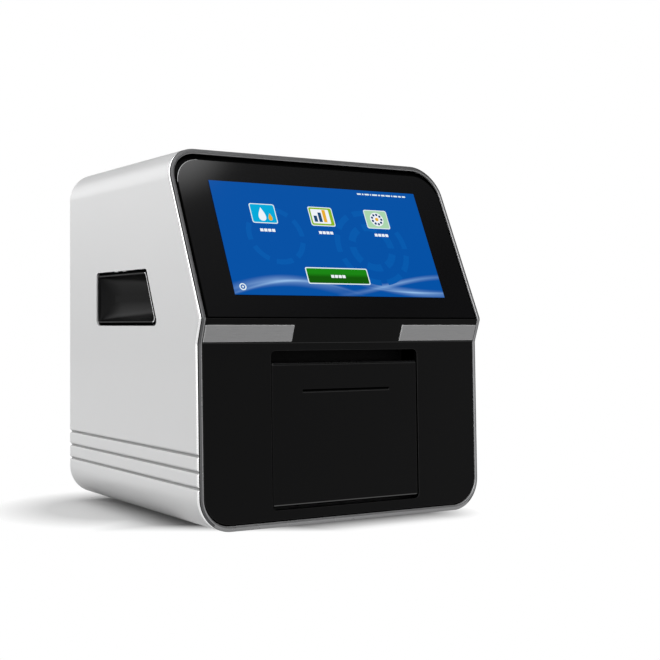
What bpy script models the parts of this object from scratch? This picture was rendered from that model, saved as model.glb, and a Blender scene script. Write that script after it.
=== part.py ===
"""A bench-top dry chemistry analyzer with a slanted touch screen and a motor-driven disc drawer.

The frame: +Z up, the front faces -Y, the ground is z = 0 and the middle of the bounding box is x = y = 0.
All sizes are in metres.
"""

import math

import bmesh
import bpy
from mathutils import Matrix, Vector

# The body, measured on the photograph at a width of 200 mm
BODY_WIDTH = 0.2000
BODY_HEIGHT = 0.2241
BODY_DEPTH = 0.2080
BODY_CORNER_RADIUS = 0.0200

# The front outline, seen from the side, from the toe up to the top edge
LOWER_FACE_HEIGHT = 0.1075
LOWER_FACE_LEAN = 0.0030
BAND_HEIGHT = 0.0143
BAND_OVERHANG = 0.0052
SCREEN_FACE_SETBACK = 0.0507

# Gaps and overruns shared by all pieces
TOUCH_GAP = 0.0003
RUNNING_GAP = 0.0004
CUT_OVERRUN = 0.0020
WELD_DISTANCE = 0.000001

# Facet counts
CORNER_STEPS = 6
SMALL_CORNER_STEPS = 3
ROUND_SIDES = 40
SMALL_ROUND_SIDES = 20
SCREW_SIDES = 12

# Outer shell
SHELL_WALL = 0.0025
GROOVE_COUNT = 3
GROOVE_FIRST_HEIGHT = 0.0256
GROOVE_PITCH = 0.00925
GROOVE_WIDTH = 0.0025
GROOVE_DEPTH = 0.0012
SHELL_BOSS_RADIUS = 0.0050
LUG_LENGTH = 0.0080
LUG_REACH = 0.0100
LUG_HEIGHT = 0.0100

# Feet
FOOT_HEIGHT = 0.0050
FOOT_RADIUS = 0.0080
FOOT_TAPER = 0.0010
FOOT_SIDE_INSET = 0.0460
FOOT_END_INSET = 0.0440

# Grey ring round the front
TRIM_SIDE_WIDTH = 0.0030
TRIM_END_WIDTH = 0.0037
TRIM_DEPTH = 0.0018

# Black front moulding
FASCIA_RECESS = 0.0006
FASCIA_THICKNESS = 0.0030
OPENING_CORNER_RADIUS = 0.0030

# Accent bars on the slanted band
BAR_LENGTH = 0.0582
BAR_HEIGHT = 0.0100
BAR_RISE = 0.0006
BAR_THICKNESS = 0.0012

# Touch glass, display and the boards behind it
GLASS_RECESS = 0.0003
GLASS_THICKNESS = 0.0030
GLASS_SIDE_MARGIN = 0.0012
GLASS_TOP_MARGIN = 0.0028
GLASS_FOOT_GAP = 0.0006
DISPLAY_SIDE_MARGIN = 0.0210
DISPLAY_LOW_MARGIN = 0.0100
DISPLAY_TOP_MARGIN = 0.0162
DISPLAY_THICKNESS = 0.0050
DISPLAY_CLEARANCE = 0.0010
BRACKET_THICKNESS = 0.0012
BRACKET_MARGIN = 0.0050
STANDOFF_HEIGHT = 0.0060
STANDOFF_RADIUS = 0.0030
BOARD_THICKNESS = 0.0016
MAIN_BOARD_SIDE_INSET = 0.0140
MAIN_BOARD_END_INSET = 0.0080
STANDOFF_INSET = 0.0060
HEATSINK_SIDE = 0.0280
HEATSINK_HEIGHT = 0.0100
HEATSINK_BASE = 0.0025
HEATSINK_SLOT = 0.0025
HEATSINK_SLOTS = 5

# Hand-hold cups in the two sides
HANDLE_LOW_LENGTH = 0.0972
HANDLE_TOP_LENGTH = 0.0808
HANDLE_HEIGHT = 0.0344
HANDLE_RISE = 0.1178
HANDLE_REAR_INSET = 0.0508
HANDLE_CORNER_RADIUS = 0.0030
HANDLE_RIM_WIDTH = 0.0020
HANDLE_RIM_DEPTH = 0.0006
HANDLE_FLANGE = 0.0025
HANDLE_DEPTH = 0.0200
HANDLE_REAR_DEPTH = 0.0050
HANDLE_WALL = 0.0018
HANDLE_DRAFT = 0.0030
HANDLE_LIP = 0.0003

# Drawer front, seen from the front
DRAWER_WIDTH = 0.1040
DRAWER_FRONT_HEIGHT = 0.0830
DRAWER_RISE = 0.0130
DRAWER_SIDE_GAP = 0.0006
SILL_GAP = 0.0033
FINGER_GAP = 0.0070
DRAWER_FRONT_THICKNESS = 0.0035
DRAWER_EDGE_ROUND = 0.0014
SLIT_LENGTH = 0.0620
SLIT_RISE = 0.0663
SLIT_WIDTH = 0.0012
SLIT_DEPTH = 0.0014

# Drawer tray, its well for the reagent disc, and its runners
DISC_DIAMETER = 0.0800
DISC_CLEARANCE = 0.0020
WELL_DEPTH = 0.0140
TRAY_FLOOR = 0.0030
TRAY_SIDE_WALL = 0.0030
TRAY_END_WALL = 0.0055
TRAY_RISE = 0.0320
FINGER_NOTCH_WIDTH = 0.0220
FINGER_NOTCH_REACH = 0.0030
RUNNER_END_INSET = 0.0095
RUNNER_HEIGHT = 0.0100
RUNNER_THICKNESS = 0.0056
RUNNER_RISE = 0.0035
RAIL_END_INSET = 0.0080
RAIL_LIP = 0.0025
RAIL_WEB = 0.0025
RAIL_ENTRY = 0.0034
RAIL_START = 0.0050

# Turntable and its motor
SPIN_MOTOR_RADIUS = 0.0180
SPIN_MOTOR_HEIGHT = 0.0185
SPIN_MOTOR_STEP = 0.0030
SPIN_SHAFT_RADIUS = 0.0025
SPIN_HOLE_RADIUS = 0.0060
TURNTABLE_RADIUS = 0.0360
TURNTABLE_THICKNESS = 0.0020
TURNTABLE_RIM_WIDTH = 0.0030
TURNTABLE_RIM_HEIGHT = 0.0010
HUB_RADIUS = 0.0080
HUB_HEIGHT = 0.0032
HUB_CHAMFER = 0.0015
DRIVE_PIN_RADIUS = 0.0015
DRIVE_PIN_PLACE = 0.0180

# Rack and pinion that push the drawer
GEAR_MODULE = 0.0010
PINION_TEETH = 14
PRESSURE_ANGLE = math.radians(20)
ADDENDUM_SHARE = 0.85
DEDENDUM_SHARE = 1.15
TOOTH_SHARE = 0.40
GEAR_WIDTH = 0.0050
RACK_BACK = 0.0025
RACK_LENGTH = 0.1290
PINION_PLACE = 0.0150
PINION_SHAFT_RADIUS = 0.0020
FLANK_STEPS = 3
DRAWER_MOTOR_RADIUS = 0.0100
DRAWER_MOTOR_WALL_GAP = 0.0091
DRAWER_MOTOR_NOSE = 0.0030
DRAWER_MOTOR_NOSE_RADIUS = 0.0060

# Steel base and cradle
BASE_PLATE_RISE = 0.0080
BASE_PLATE_THICKNESS = 0.0020
BASE_PLATE_SIDE_GAP = 0.0095
BASE_PLATE_END_INSET = 0.0100
CRADLE_WALL = 0.0020
CRADLE_REAR_GAP = 0.0316
CRADLE_HEADROOM = 0.0060

# Heating plate, bridge and optics above the drawer
HEATER_THICKNESS = 0.0030
HEATER_DROP = 0.0003
BRIDGE_THICKNESS = 0.0020
BRIDGE_SETBACK = 0.0100
OPTIC_PATH_RADIUS = 0.0370
OPTIC_HOLE_RADIUS = 0.0042
LENS_RADIUS = 0.0038
LENS_LENGTH = 0.0120
OPTIC_BLOCK_WIDTH = 0.0460
OPTIC_BLOCK_LENGTH = 0.0500
OPTIC_BLOCK_HEIGHT = 0.0300
OPTIC_BLOCK_LEAD = 0.0100
LAMP_RADIUS = 0.0090
LAMP_HEIGHT = 0.0220
READER_WIDTH = 0.0220
READER_LENGTH = 0.0160
READER_HEIGHT = 0.0120
READER_WINDOW_RADIUS = 0.0030
SHIELD_THICKNESS = 0.0015
SHIELD_CLEARANCE = 0.0006
READER_SIDE_PLACE = 0.0200
READER_FORWARD_PLACE = 0.0120
DETECTOR_WIDTH = 0.0240
DETECTOR_LENGTH = 0.0160
DETECTOR_HEIGHT = 0.0180
DETECTOR_BOARD_MARGIN = 0.0040
DETECTOR_EYE_RADIUS = 0.0030
DETECTOR_EYE_HEIGHT = 0.0020
WINDOW_RADIUS = 0.0030

# Rear panel
REAR_PANEL_THICKNESS = 0.0020
REAR_PANEL_RECESS = 0.0026
VENT_SLOT_WIDTH = 0.0030
VENT_SLOT_PITCH = 0.0062
VENT_FIELD_SIDE = 0.0500
VENT_SLOTS = 8
VENT_FIELD_OFFSET = 0.0450
VENT_FIELD_DROP = 0.0591
SCREW_HEAD_RADIUS = 0.0030
SCREW_HEAD_HEIGHT = 0.0018
SCREW_SHANK_RADIUS = 0.0014
SCREW_HOLE_RADIUS = 0.0017
SCREW_SLOT_WIDTH = 0.0008
SCREW_SLOT_DEPTH = 0.0007
SCREW_INSET = 0.0065
SCREW_RISE_SHARES = (0.20, 0.80)

# Fan behind the vents
FAN_SIDE = 0.0600
FAN_DEPTH = 0.0150
FAN_CORNER_RADIUS = 0.0040
FAN_DUCT_RADIUS = 0.0285
FAN_HUB_RADIUS = 0.0130
FAN_TIP_GAP = 0.0010
FAN_STRUT_WIDTH = 0.0030
FAN_STRUT_DEPTH = 0.0020
FAN_BLADES = 7
FAN_BLADE_THICKNESS = 0.0014
FAN_BLADE_PITCH = math.radians(38)
FAN_BLADE_CHORD = 0.0110
FAN_BLADE_ROOT = 0.0020

# Power supply, power inlet and switch
SUPPLY_WALL_GAP = 0.0114
SUPPLY_LENGTH = 0.1000
SUPPLY_HEIGHT = 0.0600
SUPPLY_SIDE_GAP = 0.0040
INLET_FLANGE_WIDTH = 0.0300
INLET_FLANGE_HEIGHT = 0.0480
INLET_FLANGE_THICKNESS = 0.0018
INLET_BODY_MARGIN = 0.0020
INLET_BODY_DEPTH = 0.0220
INLET_SOCKET_WIDTH = 0.0240
INLET_SOCKET_HEIGHT = 0.0160
INLET_SOCKET_DEPTH = 0.0170
INLET_SOCKET_CHAMFER = 0.0045
INLET_SOCKET_DROP = 0.0110
INLET_PIN_LENGTH = 0.0120
INLET_PIN_WIDTH = 0.0020
INLET_PIN_HEIGHT = 0.0040
INLET_PIN_SPACING = 0.0070
INLET_EARTH_RISE = 0.0025
INLET_SIDE_PLACE = 0.0550
INLET_RISE = 0.0480
SWITCH_WIDTH = 0.0200
SWITCH_HEIGHT = 0.0130
SWITCH_CLEARANCE = 0.0007
SWITCH_LIFT = 0.0125
SWITCH_BODY_DEPTH = 0.0080
SWITCH_SIDE_TAPER = 0.0006
SWITCH_SINK = 0.0006
SWITCH_TILT = math.radians(8)
SWITCH_WELL_DEPTH = 0.0120

# Sockets for data
PORT_RISE = 0.0480
PORT_WALL = 0.0012
PORT_SIDE_PLACE = 0.0620
NETWORK_WIDTH = 0.0160
NETWORK_HEIGHT = 0.0135
NETWORK_DEPTH = 0.0180
USB_WIDTH = 0.0140
USB_HEIGHT = 0.0070
USB_DEPTH = 0.0140
USB_TONGUE = 0.0020
PORT_PITCH = 0.0200
PORT_PROUD = 0.0006
PORT_BOARD_HEIGHT = 0.0240
PORT_BOARD_WIDTH = 0.0640

# Loudspeaker
SPEAKER_RADIUS = 0.0150
SPEAKER_DEPTH = 0.0070
SPEAKER_RIM = 0.0020
SPEAKER_CONE_DEPTH = 0.0040
SPEAKER_CONE_SHARE = 0.45

# Places that follow from the sizes above
HALF_WIDTH = BODY_WIDTH / 2
BASE_Z = FOOT_HEIGHT
TOP_Z = BASE_Z + BODY_HEIGHT
LOWER_KINK_Z = BASE_Z + LOWER_FACE_HEIGHT
UPPER_KINK_Z = LOWER_KINK_Z + BAND_HEIGHT
UPPER_KINK_Y = -BODY_DEPTH / 2
REAR_Y = BODY_DEPTH / 2
LOWER_KINK_Y = UPPER_KINK_Y + BAND_OVERHANG
TOE_Y = LOWER_KINK_Y - LOWER_FACE_LEAN
TOP_FRONT_Y = UPPER_KINK_Y + SCREEN_FACE_SETBACK
FACE_LINE = (
    (TOE_Y, BASE_Z),
    (LOWER_KINK_Y, LOWER_KINK_Z),
    (UPPER_KINK_Y, UPPER_KINK_Z),
    (TOP_FRONT_Y, TOP_Z),
)


def face_y(height):
    """Where the front surface lies at one height above the ground."""
    for (near_y, near_z), (far_y, far_z) in zip(FACE_LINE, FACE_LINE[1:]):
        if height <= far_z:
            break
    return near_y + (far_y - near_y) * (height - near_z) / (far_z - near_z)


SCREEN_TILT = math.atan2(TOP_Z - UPPER_KINK_Z, SCREEN_FACE_SETBACK)
SCREEN_FACE_LENGTH = math.hypot(TOP_Z - UPPER_KINK_Z, SCREEN_FACE_SETBACK)
DISPLAY_WIDTH = BODY_WIDTH - 2 * DISPLAY_SIDE_MARGIN
DISPLAY_HEIGHT = SCREEN_FACE_LENGTH - DISPLAY_LOW_MARGIN - DISPLAY_TOP_MARGIN
DISPLAY_CENTRE_RISE = DISPLAY_LOW_MARGIN + DISPLAY_HEIGHT / 2
MAIN_BOARD_WIDTH = DISPLAY_WIDTH - 2 * MAIN_BOARD_SIDE_INSET
MAIN_BOARD_HEIGHT = DISPLAY_HEIGHT - 2 * MAIN_BOARD_END_INSET
INNER_HALF_WIDTH = HALF_WIDTH - SHELL_WALL
REAR_PANEL_OUT_Y = REAR_Y - REAR_PANEL_RECESS
REAR_PANEL_IN_Y = REAR_PANEL_OUT_Y - REAR_PANEL_THICKNESS
BASE_PLATE_LOW = BASE_Z + BASE_PLATE_RISE
BASE_PLATE_TOP = BASE_PLATE_LOW + BASE_PLATE_THICKNESS
FASCIA_BACK_Y = LOWER_KINK_Y + FASCIA_RECESS + FASCIA_THICKNESS
GLASS_SEAT = GLASS_RECESS + GLASS_THICKNESS + TOUCH_GAP

DRAWER_LOW = BASE_Z + DRAWER_RISE
DRAWER_TOP = DRAWER_LOW + DRAWER_FRONT_HEIGHT
OPENING_HALF_WIDTH = DRAWER_WIDTH / 2 + DRAWER_SIDE_GAP
OPENING_LOW = DRAWER_LOW - SILL_GAP
OPENING_TOP = DRAWER_TOP + FINGER_GAP

WELL_RADIUS = DISC_DIAMETER / 2 + DISC_CLEARANCE
TRAY_HALF_WIDTH = WELL_RADIUS + TRAY_SIDE_WALL
TRAY_LOW = DRAWER_LOW + TRAY_RISE
WELL_FLOOR_Z = TRAY_LOW + TRAY_FLOOR
TRAY_TOP = WELL_FLOOR_Z + WELL_DEPTH
DRAWER_BACK_Y = face_y(TRAY_TOP) + FASCIA_RECESS + DRAWER_FRONT_THICKNESS
TRAY_START_Y = DRAWER_BACK_Y + TOUCH_GAP
TRAY_END_Y = TRAY_START_Y + 2 * (WELL_RADIUS + TRAY_END_WALL)
SPIN_Y = (TRAY_START_Y + TRAY_END_Y) / 2
RUNNER_INNER_X = TRAY_HALF_WIDTH + TOUCH_GAP
RUNNER_OUTER_X = RUNNER_INNER_X + RUNNER_THICKNESS
RUNNER_LOW = TRAY_LOW + RUNNER_RISE
RUNNER_TOP = RUNNER_LOW + RUNNER_HEIGHT
RAIL_GROOVE_X = RUNNER_OUTER_X + RUNNING_GAP
RAIL_OUTER_X = RAIL_GROOVE_X + RAIL_WEB
RAIL_INNER_X = RAIL_GROOVE_X - RAIL_ENTRY
RAIL_START_Y = FASCIA_BACK_Y + RAIL_START
CRADLE_INNER_X = RAIL_OUTER_X + TOUCH_GAP
CRADLE_OUTER_X = CRADLE_INNER_X + CRADLE_WALL
CRADLE_LOW = BASE_PLATE_TOP + TOUCH_GAP
CRADLE_TOP = TRAY_TOP + CRADLE_HEADROOM
CRADLE_END_Y = REAR_PANEL_IN_Y - CRADLE_REAR_GAP
RAIL_END_Y = CRADLE_END_Y - RAIL_END_INSET
RUNNER_END_Y = RAIL_END_Y - RUNNER_END_INSET

TURNTABLE_LOW = WELL_FLOOR_Z + 2 * TOUCH_GAP
TURNTABLE_TOP = TURNTABLE_LOW + TURNTABLE_THICKNESS
MOTOR_TOP = TRAY_LOW - TOUCH_GAP

PINION_PITCH_RADIUS = GEAR_MODULE * PINION_TEETH / 2
TOOTH_PITCH = math.pi * GEAR_MODULE
ADDENDUM = ADDENDUM_SHARE * GEAR_MODULE
DEDENDUM = DEDENDUM_SHARE * GEAR_MODULE
RACK_TOP = TRAY_LOW - TOUCH_GAP
RACK_PITCH_Z = RACK_TOP - RACK_BACK - DEDENDUM
PINION_Z = RACK_PITCH_Z - PINION_PITCH_RADIUS
PINION_Y = RAIL_START_Y + PINION_PLACE
RACK_OUTER_X = -TRAY_HALF_WIDTH
RACK_INNER_X = RACK_OUTER_X + GEAR_WIDTH

BRIDGE_LOW = CRADLE_TOP + TOUCH_GAP
BRIDGE_TOP = BRIDGE_LOW + BRIDGE_THICKNESS
OPTIC_Y = SPIN_Y + OPTIC_PATH_RADIUS

FAN_X = VENT_FIELD_OFFSET
FAN_Z = TOP_Z - VENT_FIELD_DROP
SPEAKER_X = -VENT_FIELD_OFFSET
INLET_X = -INLET_SIDE_PLACE
INLET_Z = BASE_Z + INLET_RISE


def clear_scene():
    for item in list(bpy.data.objects):
        bpy.data.objects.remove(item, do_unlink=True)


def add_collection(name):
    collection = bpy.data.collections.new(name)
    bpy.context.scene.collection.children.link(collection)
    return collection


clear_scene()
PARTS = add_collection("dry_chemistry_analyzer")
CUTTERS = add_collection("cutters")


def add_material(name, colour, roughness, metallic=0.0):
    """A Principled material with one plain colour."""
    made = bpy.data.materials.new(name)
    made.use_nodes = True
    made.diffuse_color = (*colour, 1.0)
    shader = made.node_tree.nodes["Principled BSDF"]
    shader.inputs["Base Color"].default_value = (*colour, 1.0)
    shader.inputs["Roughness"].default_value = roughness
    shader.inputs["Metallic"].default_value = metallic
    return made


SILVER_PAINT = add_material("silver_paint", (0.72, 0.73, 0.74), 0.38, 0.15)
GREY_METAL = add_material("grey_metal", (0.20, 0.20, 0.21), 0.32, 0.8)
BRUSHED_GREY = add_material("brushed_grey", (0.28, 0.28, 0.29), 0.35, 0.9)
SATIN_BLACK = add_material("satin_black", (0.008, 0.008, 0.009), 0.36)
GLOSS_BLACK = add_material("gloss_black", (0.004, 0.004, 0.005), 0.08)
SCREEN_BLUE = add_material("screen_blue", (0.01, 0.09, 0.38), 0.2)
STEEL = add_material("zinc_steel", (0.55, 0.56, 0.57), 0.35, 1.0)
ALUMINIUM = add_material("aluminium", (0.75, 0.76, 0.77), 0.3, 1.0)
DARK_PLASTIC = add_material("dark_plastic", (0.03, 0.03, 0.032), 0.5)
WHITE_PLASTIC = add_material("white_plastic", (0.75, 0.75, 0.72), 0.45)
BOARD_GREEN = add_material("board_green", (0.02, 0.16, 0.06), 0.45)
BLACK_RUBBER = add_material("black_rubber", (0.015, 0.015, 0.015), 0.8)
GLASS_CLEAR = add_material("lens_glass", (0.6, 0.7, 0.75), 0.05)


def face_strip(front, back, low, high):
    """Outline in Y and Z of a layer behind the front surface, from one height to another."""
    kinks = [z for _, z in FACE_LINE[1:-1] if low < z < high]
    heights = [low, *kinks, high]
    near = [(face_y(z) + front, z) for z in heights]
    far = [(face_y(z) + back, z) for z in reversed(heights)]
    return near + far


def offset_corners(corners, distance):
    """Corners of a convex outline moved outwards by a distance, or inwards if it is negative."""
    spots = [Vector(corner) for corner in corners]
    turn = sum(a.x * b.y - a.y * b.x for a, b in zip(spots, spots[1:] + spots[:1]))
    side = 1 if turn > 0 else -1
    moved = []
    for index, spot in enumerate(spots):
        arrive = (spot - spots[index - 1]).normalized()
        leave = (spots[(index + 1) % len(spots)] - spot).normalized()
        out_arrive = Vector((arrive.y, -arrive.x)) * side
        out_leave = Vector((leave.y, -leave.x)) * side
        reach = distance / (1 + out_arrive.dot(out_leave))
        moved.append(tuple(spot + (out_arrive + out_leave) * reach))
    return moved


def rounded(corners, radius, steps=CORNER_STEPS):
    """Outline points with each corner turned into an arc. The radius may be one value or one a corner."""
    radii = radius if isinstance(radius, (list, tuple)) else [radius] * len(corners)
    spots = [Vector(corner) for corner in corners]
    points = []
    for index, (spot, bend) in enumerate(zip(spots, radii)):
        if bend <= 0:
            points.append(tuple(spot))
            continue
        before = (spots[index - 1] - spot).normalized()
        after = (spots[(index + 1) % len(spots)] - spot).normalized()
        half = before.angle(after) / 2
        centre = spot + (before + after).normalized() * bend / math.sin(half)
        start = spot + before * bend / math.tan(half) - centre
        finish = spot + after * bend / math.tan(half) - centre
        sweep = math.atan2(start.x * finish.y - start.y * finish.x, start.dot(finish))
        for step in range(steps + 1):
            turned = start.copy()
            turned.rotate(Matrix.Rotation(sweep * step / steps, 2))
            points.append(tuple(centre + turned))
    return points


def rectangle(low_u, high_u, low_v, high_v):
    return [(low_u, low_v), (high_u, low_v), (high_u, high_v), (low_u, high_v)]


def body_corners(side_inset, end_inset):
    """The body's outline seen from the front, moved in from the sides and from the top and bottom."""
    half = HALF_WIDTH - side_inset
    return rectangle(-half, half, BASE_Z + end_inset, TOP_Z - end_inset)


def body_outline(side_inset, end_inset):
    return rounded(body_corners(side_inset, end_inset), BODY_CORNER_RADIUS - side_inset)


PLANES = {
    "XY": Matrix.Identity(4),
    "XZ": Matrix(((1, 0, 0, 0), (0, 0, -1, 0), (0, 1, 0, 0), (0, 0, 0, 1))),
    "YZ": Matrix(((0, 0, 1, 0), (1, 0, 0, 0), (0, 1, 0, 0), (0, 0, 0, 1))),
}
NORMALS = {"XY": Vector((0, 0, 1)), "XZ": Vector((0, 1, 0)), "YZ": Vector((1, 0, 0))}


def add_object(name, mesh, material, placed):
    made = bpy.data.objects.new(name, mesh)
    made.matrix_world = placed
    if material:
        mesh.materials.clear()
        mesh.materials.append(material)
    PARTS.objects.link(made)
    return made


def prism(name, outline, low, high, plane, material=None):
    """A flat outline in a plane, given its thickness from low to high along the plane's normal."""
    curve = bpy.data.curves.new(name + "_outline", "CURVE")
    curve.dimensions = "2D"
    curve.fill_mode = "BOTH"
    curve.extrude = abs(high - low) / 2
    spline = curve.splines.new("POLY")
    spline.points.add(len(outline) - 1)
    for point, (u, v) in zip(spline.points, outline):
        point.co = (u, v, 0, 1)
    spline.use_cyclic_u = True
    guide = bpy.data.objects.new(name + "_outline", curve)
    guide.matrix_world = Matrix.Translation(NORMALS[plane] * (low + high) / 2) @ PLANES[plane]
    PARTS.objects.link(guide)
    bpy.context.view_layer.update()
    graph = bpy.context.evaluated_depsgraph_get()
    mesh = bpy.data.meshes.new_from_object(guide.evaluated_get(graph))
    mesh.name = name
    form = bmesh.new()
    form.from_mesh(mesh)
    bmesh.ops.remove_doubles(form, verts=form.verts, dist=WELD_DISTANCE)
    form.to_mesh(mesh)
    form.free()
    made = add_object(name, mesh, material, guide.matrix_world.copy())
    bpy.data.objects.remove(guide, do_unlink=True)
    return made


def loft(name, first, second, low, high, plane, material=None):
    """A solid between two outlines with as many points each, the first at low and the second at high."""
    form = bmesh.new()
    start = [form.verts.new((u, v, 0)) for u, v in first]
    finish = [form.verts.new((u, v, high - low)) for u, v in second]
    form.faces.new(start)
    form.faces.new(finish)
    count = len(start)
    for index in range(count):
        after = (index + 1) % count
        form.faces.new((start[index], start[after], finish[after], finish[index]))
    if plane == "XZ":
        bmesh.ops.scale(form, vec=(1, 1, -1), verts=form.verts)
    bmesh.ops.recalc_face_normals(form, faces=form.faces)
    mesh = bpy.data.meshes.new(name)
    form.to_mesh(mesh)
    form.free()
    placed = Matrix.Translation(NORMALS[plane] * low) @ PLANES[plane]
    return add_object(name, mesh, material, placed)


def block(name, xs, ys, zs, material=None, frame=None):
    """A box between two values along each axis, in the world or in a turned frame."""
    middle = Vector([(a + b) / 2 for a, b in (xs, ys, zs)])
    size = [abs(b - a) for a, b in (xs, ys, zs)]
    form = bmesh.new()
    bmesh.ops.create_cube(form, size=1.0)
    bmesh.ops.scale(form, vec=size, verts=form.verts)
    mesh = bpy.data.meshes.new(name)
    form.to_mesh(mesh)
    form.free()
    placed = (frame or Matrix.Identity(4)) @ Matrix.Translation(middle)
    return add_object(name, mesh, material, placed)


AXIS_TURNS = {
    "X": Matrix.Rotation(math.pi / 2, 4, "Y"),
    "Y": Matrix.Rotation(-math.pi / 2, 4, "X"),
    "Z": Matrix.Identity(4),
}


def drum(name, centre, radius, low, high, axis, material=None, sides=ROUND_SIDES, end_radius=None):
    """A cylinder or cone along one axis, from low to high on it. The centre gives its two other places."""
    form = bmesh.new()
    last = radius if end_radius is None else end_radius
    bmesh.ops.create_cone(
        form, cap_ends=True, segments=sides, radius1=radius, radius2=last, depth=high - low
    )
    mesh = bpy.data.meshes.new(name)
    form.to_mesh(mesh)
    form.free()
    middle = (low + high) / 2
    places = {
        "X": (middle, centre[0], centre[1]),
        "Y": (centre[0], middle, centre[1]),
        "Z": (centre[0], centre[1], middle),
    }
    made = add_object(name, mesh, material, Matrix.Translation(places[axis]) @ AXIS_TURNS[axis])
    mesh.shade_smooth()
    mesh.set_sharp_from_angle(angle=math.radians(40))
    return made


def combine(piece, tool, operation):
    """Adds a Boolean with the tool, which moves to the cutters' collection."""
    if tool.name in PARTS.objects:
        PARTS.objects.unlink(tool)
        CUTTERS.objects.link(tool)
    tool.hide_render = True
    tool.display_type = "WIRE"
    modifier = piece.modifiers.new(tool.name, "BOOLEAN")
    modifier.operation = operation
    modifier.solver = "EXACT"
    modifier.object = tool
    return piece


def cut(piece, tool):
    return combine(piece, tool, "DIFFERENCE")


def fuse(piece, tool):
    return combine(piece, tool, "UNION")


def keep(piece, tool):
    return combine(piece, tool, "INTERSECT")


def round_edges(piece, width, segments=2):
    modifier = piece.modifiers.new("rounded_edges", "BEVEL")
    modifier.width = width
    modifier.segments = segments
    modifier.limit_method = "ANGLE"
    modifier.angle_limit = math.radians(40)
    return piece


def add_axis(name, place, parent=None):
    """An empty on a joint's axis, which carries the pieces that move on it."""
    empty = bpy.data.objects.new(name, None)
    empty.matrix_world = Matrix.Translation(place)
    PARTS.objects.link(empty)
    if parent:
        carry(parent, [empty])
    return empty


def carry(axis, pieces):
    """Parents pieces to an axis and leaves them where they are."""
    bpy.context.view_layer.update()
    for piece in pieces:
        placed = piece.matrix_world.copy()
        piece.parent = axis
        piece.matrix_parent_inverse = axis.matrix_world.inverted()
        piece.matrix_world = placed


def wide_range(reach):
    return (-HALF_WIDTH - reach, HALF_WIDTH + reach)


def handle_corners(distance):
    """The hand-hold's outline in Y and Z, a trapezoid whose front end slants, moved outwards."""
    rear = REAR_Y - HANDLE_REAR_INSET
    low = BASE_Z + HANDLE_RISE
    high = low + HANDLE_HEIGHT
    corners = [
        (rear - HANDLE_LOW_LENGTH, low),
        (rear, low),
        (rear, high),
        (rear - HANDLE_TOP_LENGTH, high),
    ]
    return offset_corners(corners, distance)


def handle_outline(distance):
    return rounded(handle_corners(distance), HANDLE_CORNER_RADIUS + distance / 2, SMALL_CORNER_STEPS)


def foot_places():
    """Name, x and y of each foot."""
    x = HALF_WIDTH - FOOT_SIDE_INSET
    front = TOE_Y + FOOT_END_INSET
    rear = REAR_Y - FOOT_END_INSET
    return [
        ("front_left", -x, front),
        ("front_right", x, front),
        ("rear_left", -x, rear),
        ("rear_right", x, rear),
    ]


def screw_places():
    """x and z of the rear panel's screws."""
    x = HALF_WIDTH - SHELL_WALL - SCREW_INSET
    heights = [BASE_Z + BODY_HEIGHT * share for share in SCREW_RISE_SHARES]
    return [(side * x, z) for z in heights for side in (-1, 1)]


def build_shell():
    """The wrap-around cover: both sides, top and floor in one piece, open at the front and rear."""
    reach = (UPPER_KINK_Y - CUT_OVERRUN, REAR_Y)
    shell = prism("housing_shell", body_outline(0, 0), *reach, "XZ", SILVER_PAINT)
    for row in range(GROOVE_COUNT):
        middle = BASE_Z + GROOVE_FIRST_HEIGHT + row * GROOVE_PITCH
        for side in (-1, 1):
            groove = block(
                f"groove_{row}_{side}",
                (side * (HALF_WIDTH - GROOVE_DEPTH), side * (HALF_WIDTH + CUT_OVERRUN)),
                (UPPER_KINK_Y - CUT_OVERRUN, REAR_Y + CUT_OVERRUN),
                (middle - GROOVE_WIDTH / 2, middle + GROOVE_WIDTH / 2),
            )
            cut(shell, groove)
    trimmed = face_strip(
        -BODY_DEPTH, TRIM_DEPTH + TOUCH_GAP, BASE_Z - CUT_OVERRUN, TOP_Z + CUT_OVERRUN
    )
    cut(shell, prism("shell_front_cut", trimmed, *wide_range(CUT_OVERRUN), "YZ"))
    for side in (-1, 1):
        hole = prism(
            f"handle_hole_{side}",
            handle_outline(TOUCH_GAP),
            side * (HALF_WIDTH - SHELL_WALL - CUT_OVERRUN),
            side * (HALF_WIDTH + CUT_OVERRUN),
            "YZ",
        )
        cut(shell, hole)
    hollow = prism(
        "shell_hollow",
        body_outline(SHELL_WALL, SHELL_WALL),
        UPPER_KINK_Y - 2 * CUT_OVERRUN,
        REAR_Y + CUT_OVERRUN,
        "XZ",
    )
    cut(shell, hollow)
    for name, x, y in foot_places():
        boss = drum(
            "boss_" + name, (x, y), SHELL_BOSS_RADIUS, BASE_Z + SHELL_WALL / 2, BASE_PLATE_LOW - TOUCH_GAP,
            "Z", sides=SMALL_ROUND_SIDES,
        )
        fuse(shell, boss)
    lug_end = REAR_PANEL_IN_Y - TOUCH_GAP
    for x, z in screw_places():
        outer = math.copysign(HALF_WIDTH - SHELL_WALL / 2, x)
        inner = math.copysign(HALF_WIDTH - SHELL_WALL - LUG_REACH, x)
        lug = block(
            f"lug_{x:.3f}_{z:.3f}", (inner, outer), (lug_end - LUG_LENGTH, lug_end),
            (z - LUG_HEIGHT / 2, z + LUG_HEIGHT / 2),
        )
        fuse(shell, lug)


def build_feet():
    for name, x, y in foot_places():
        drum(
            "foot_" + name, (x, y), FOOT_RADIUS - FOOT_TAPER, 0, FOOT_HEIGHT - TOUCH_GAP, "Z",
            BLACK_RUBBER, SMALL_ROUND_SIDES, end_radius=FOOT_RADIUS,
        )


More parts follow.
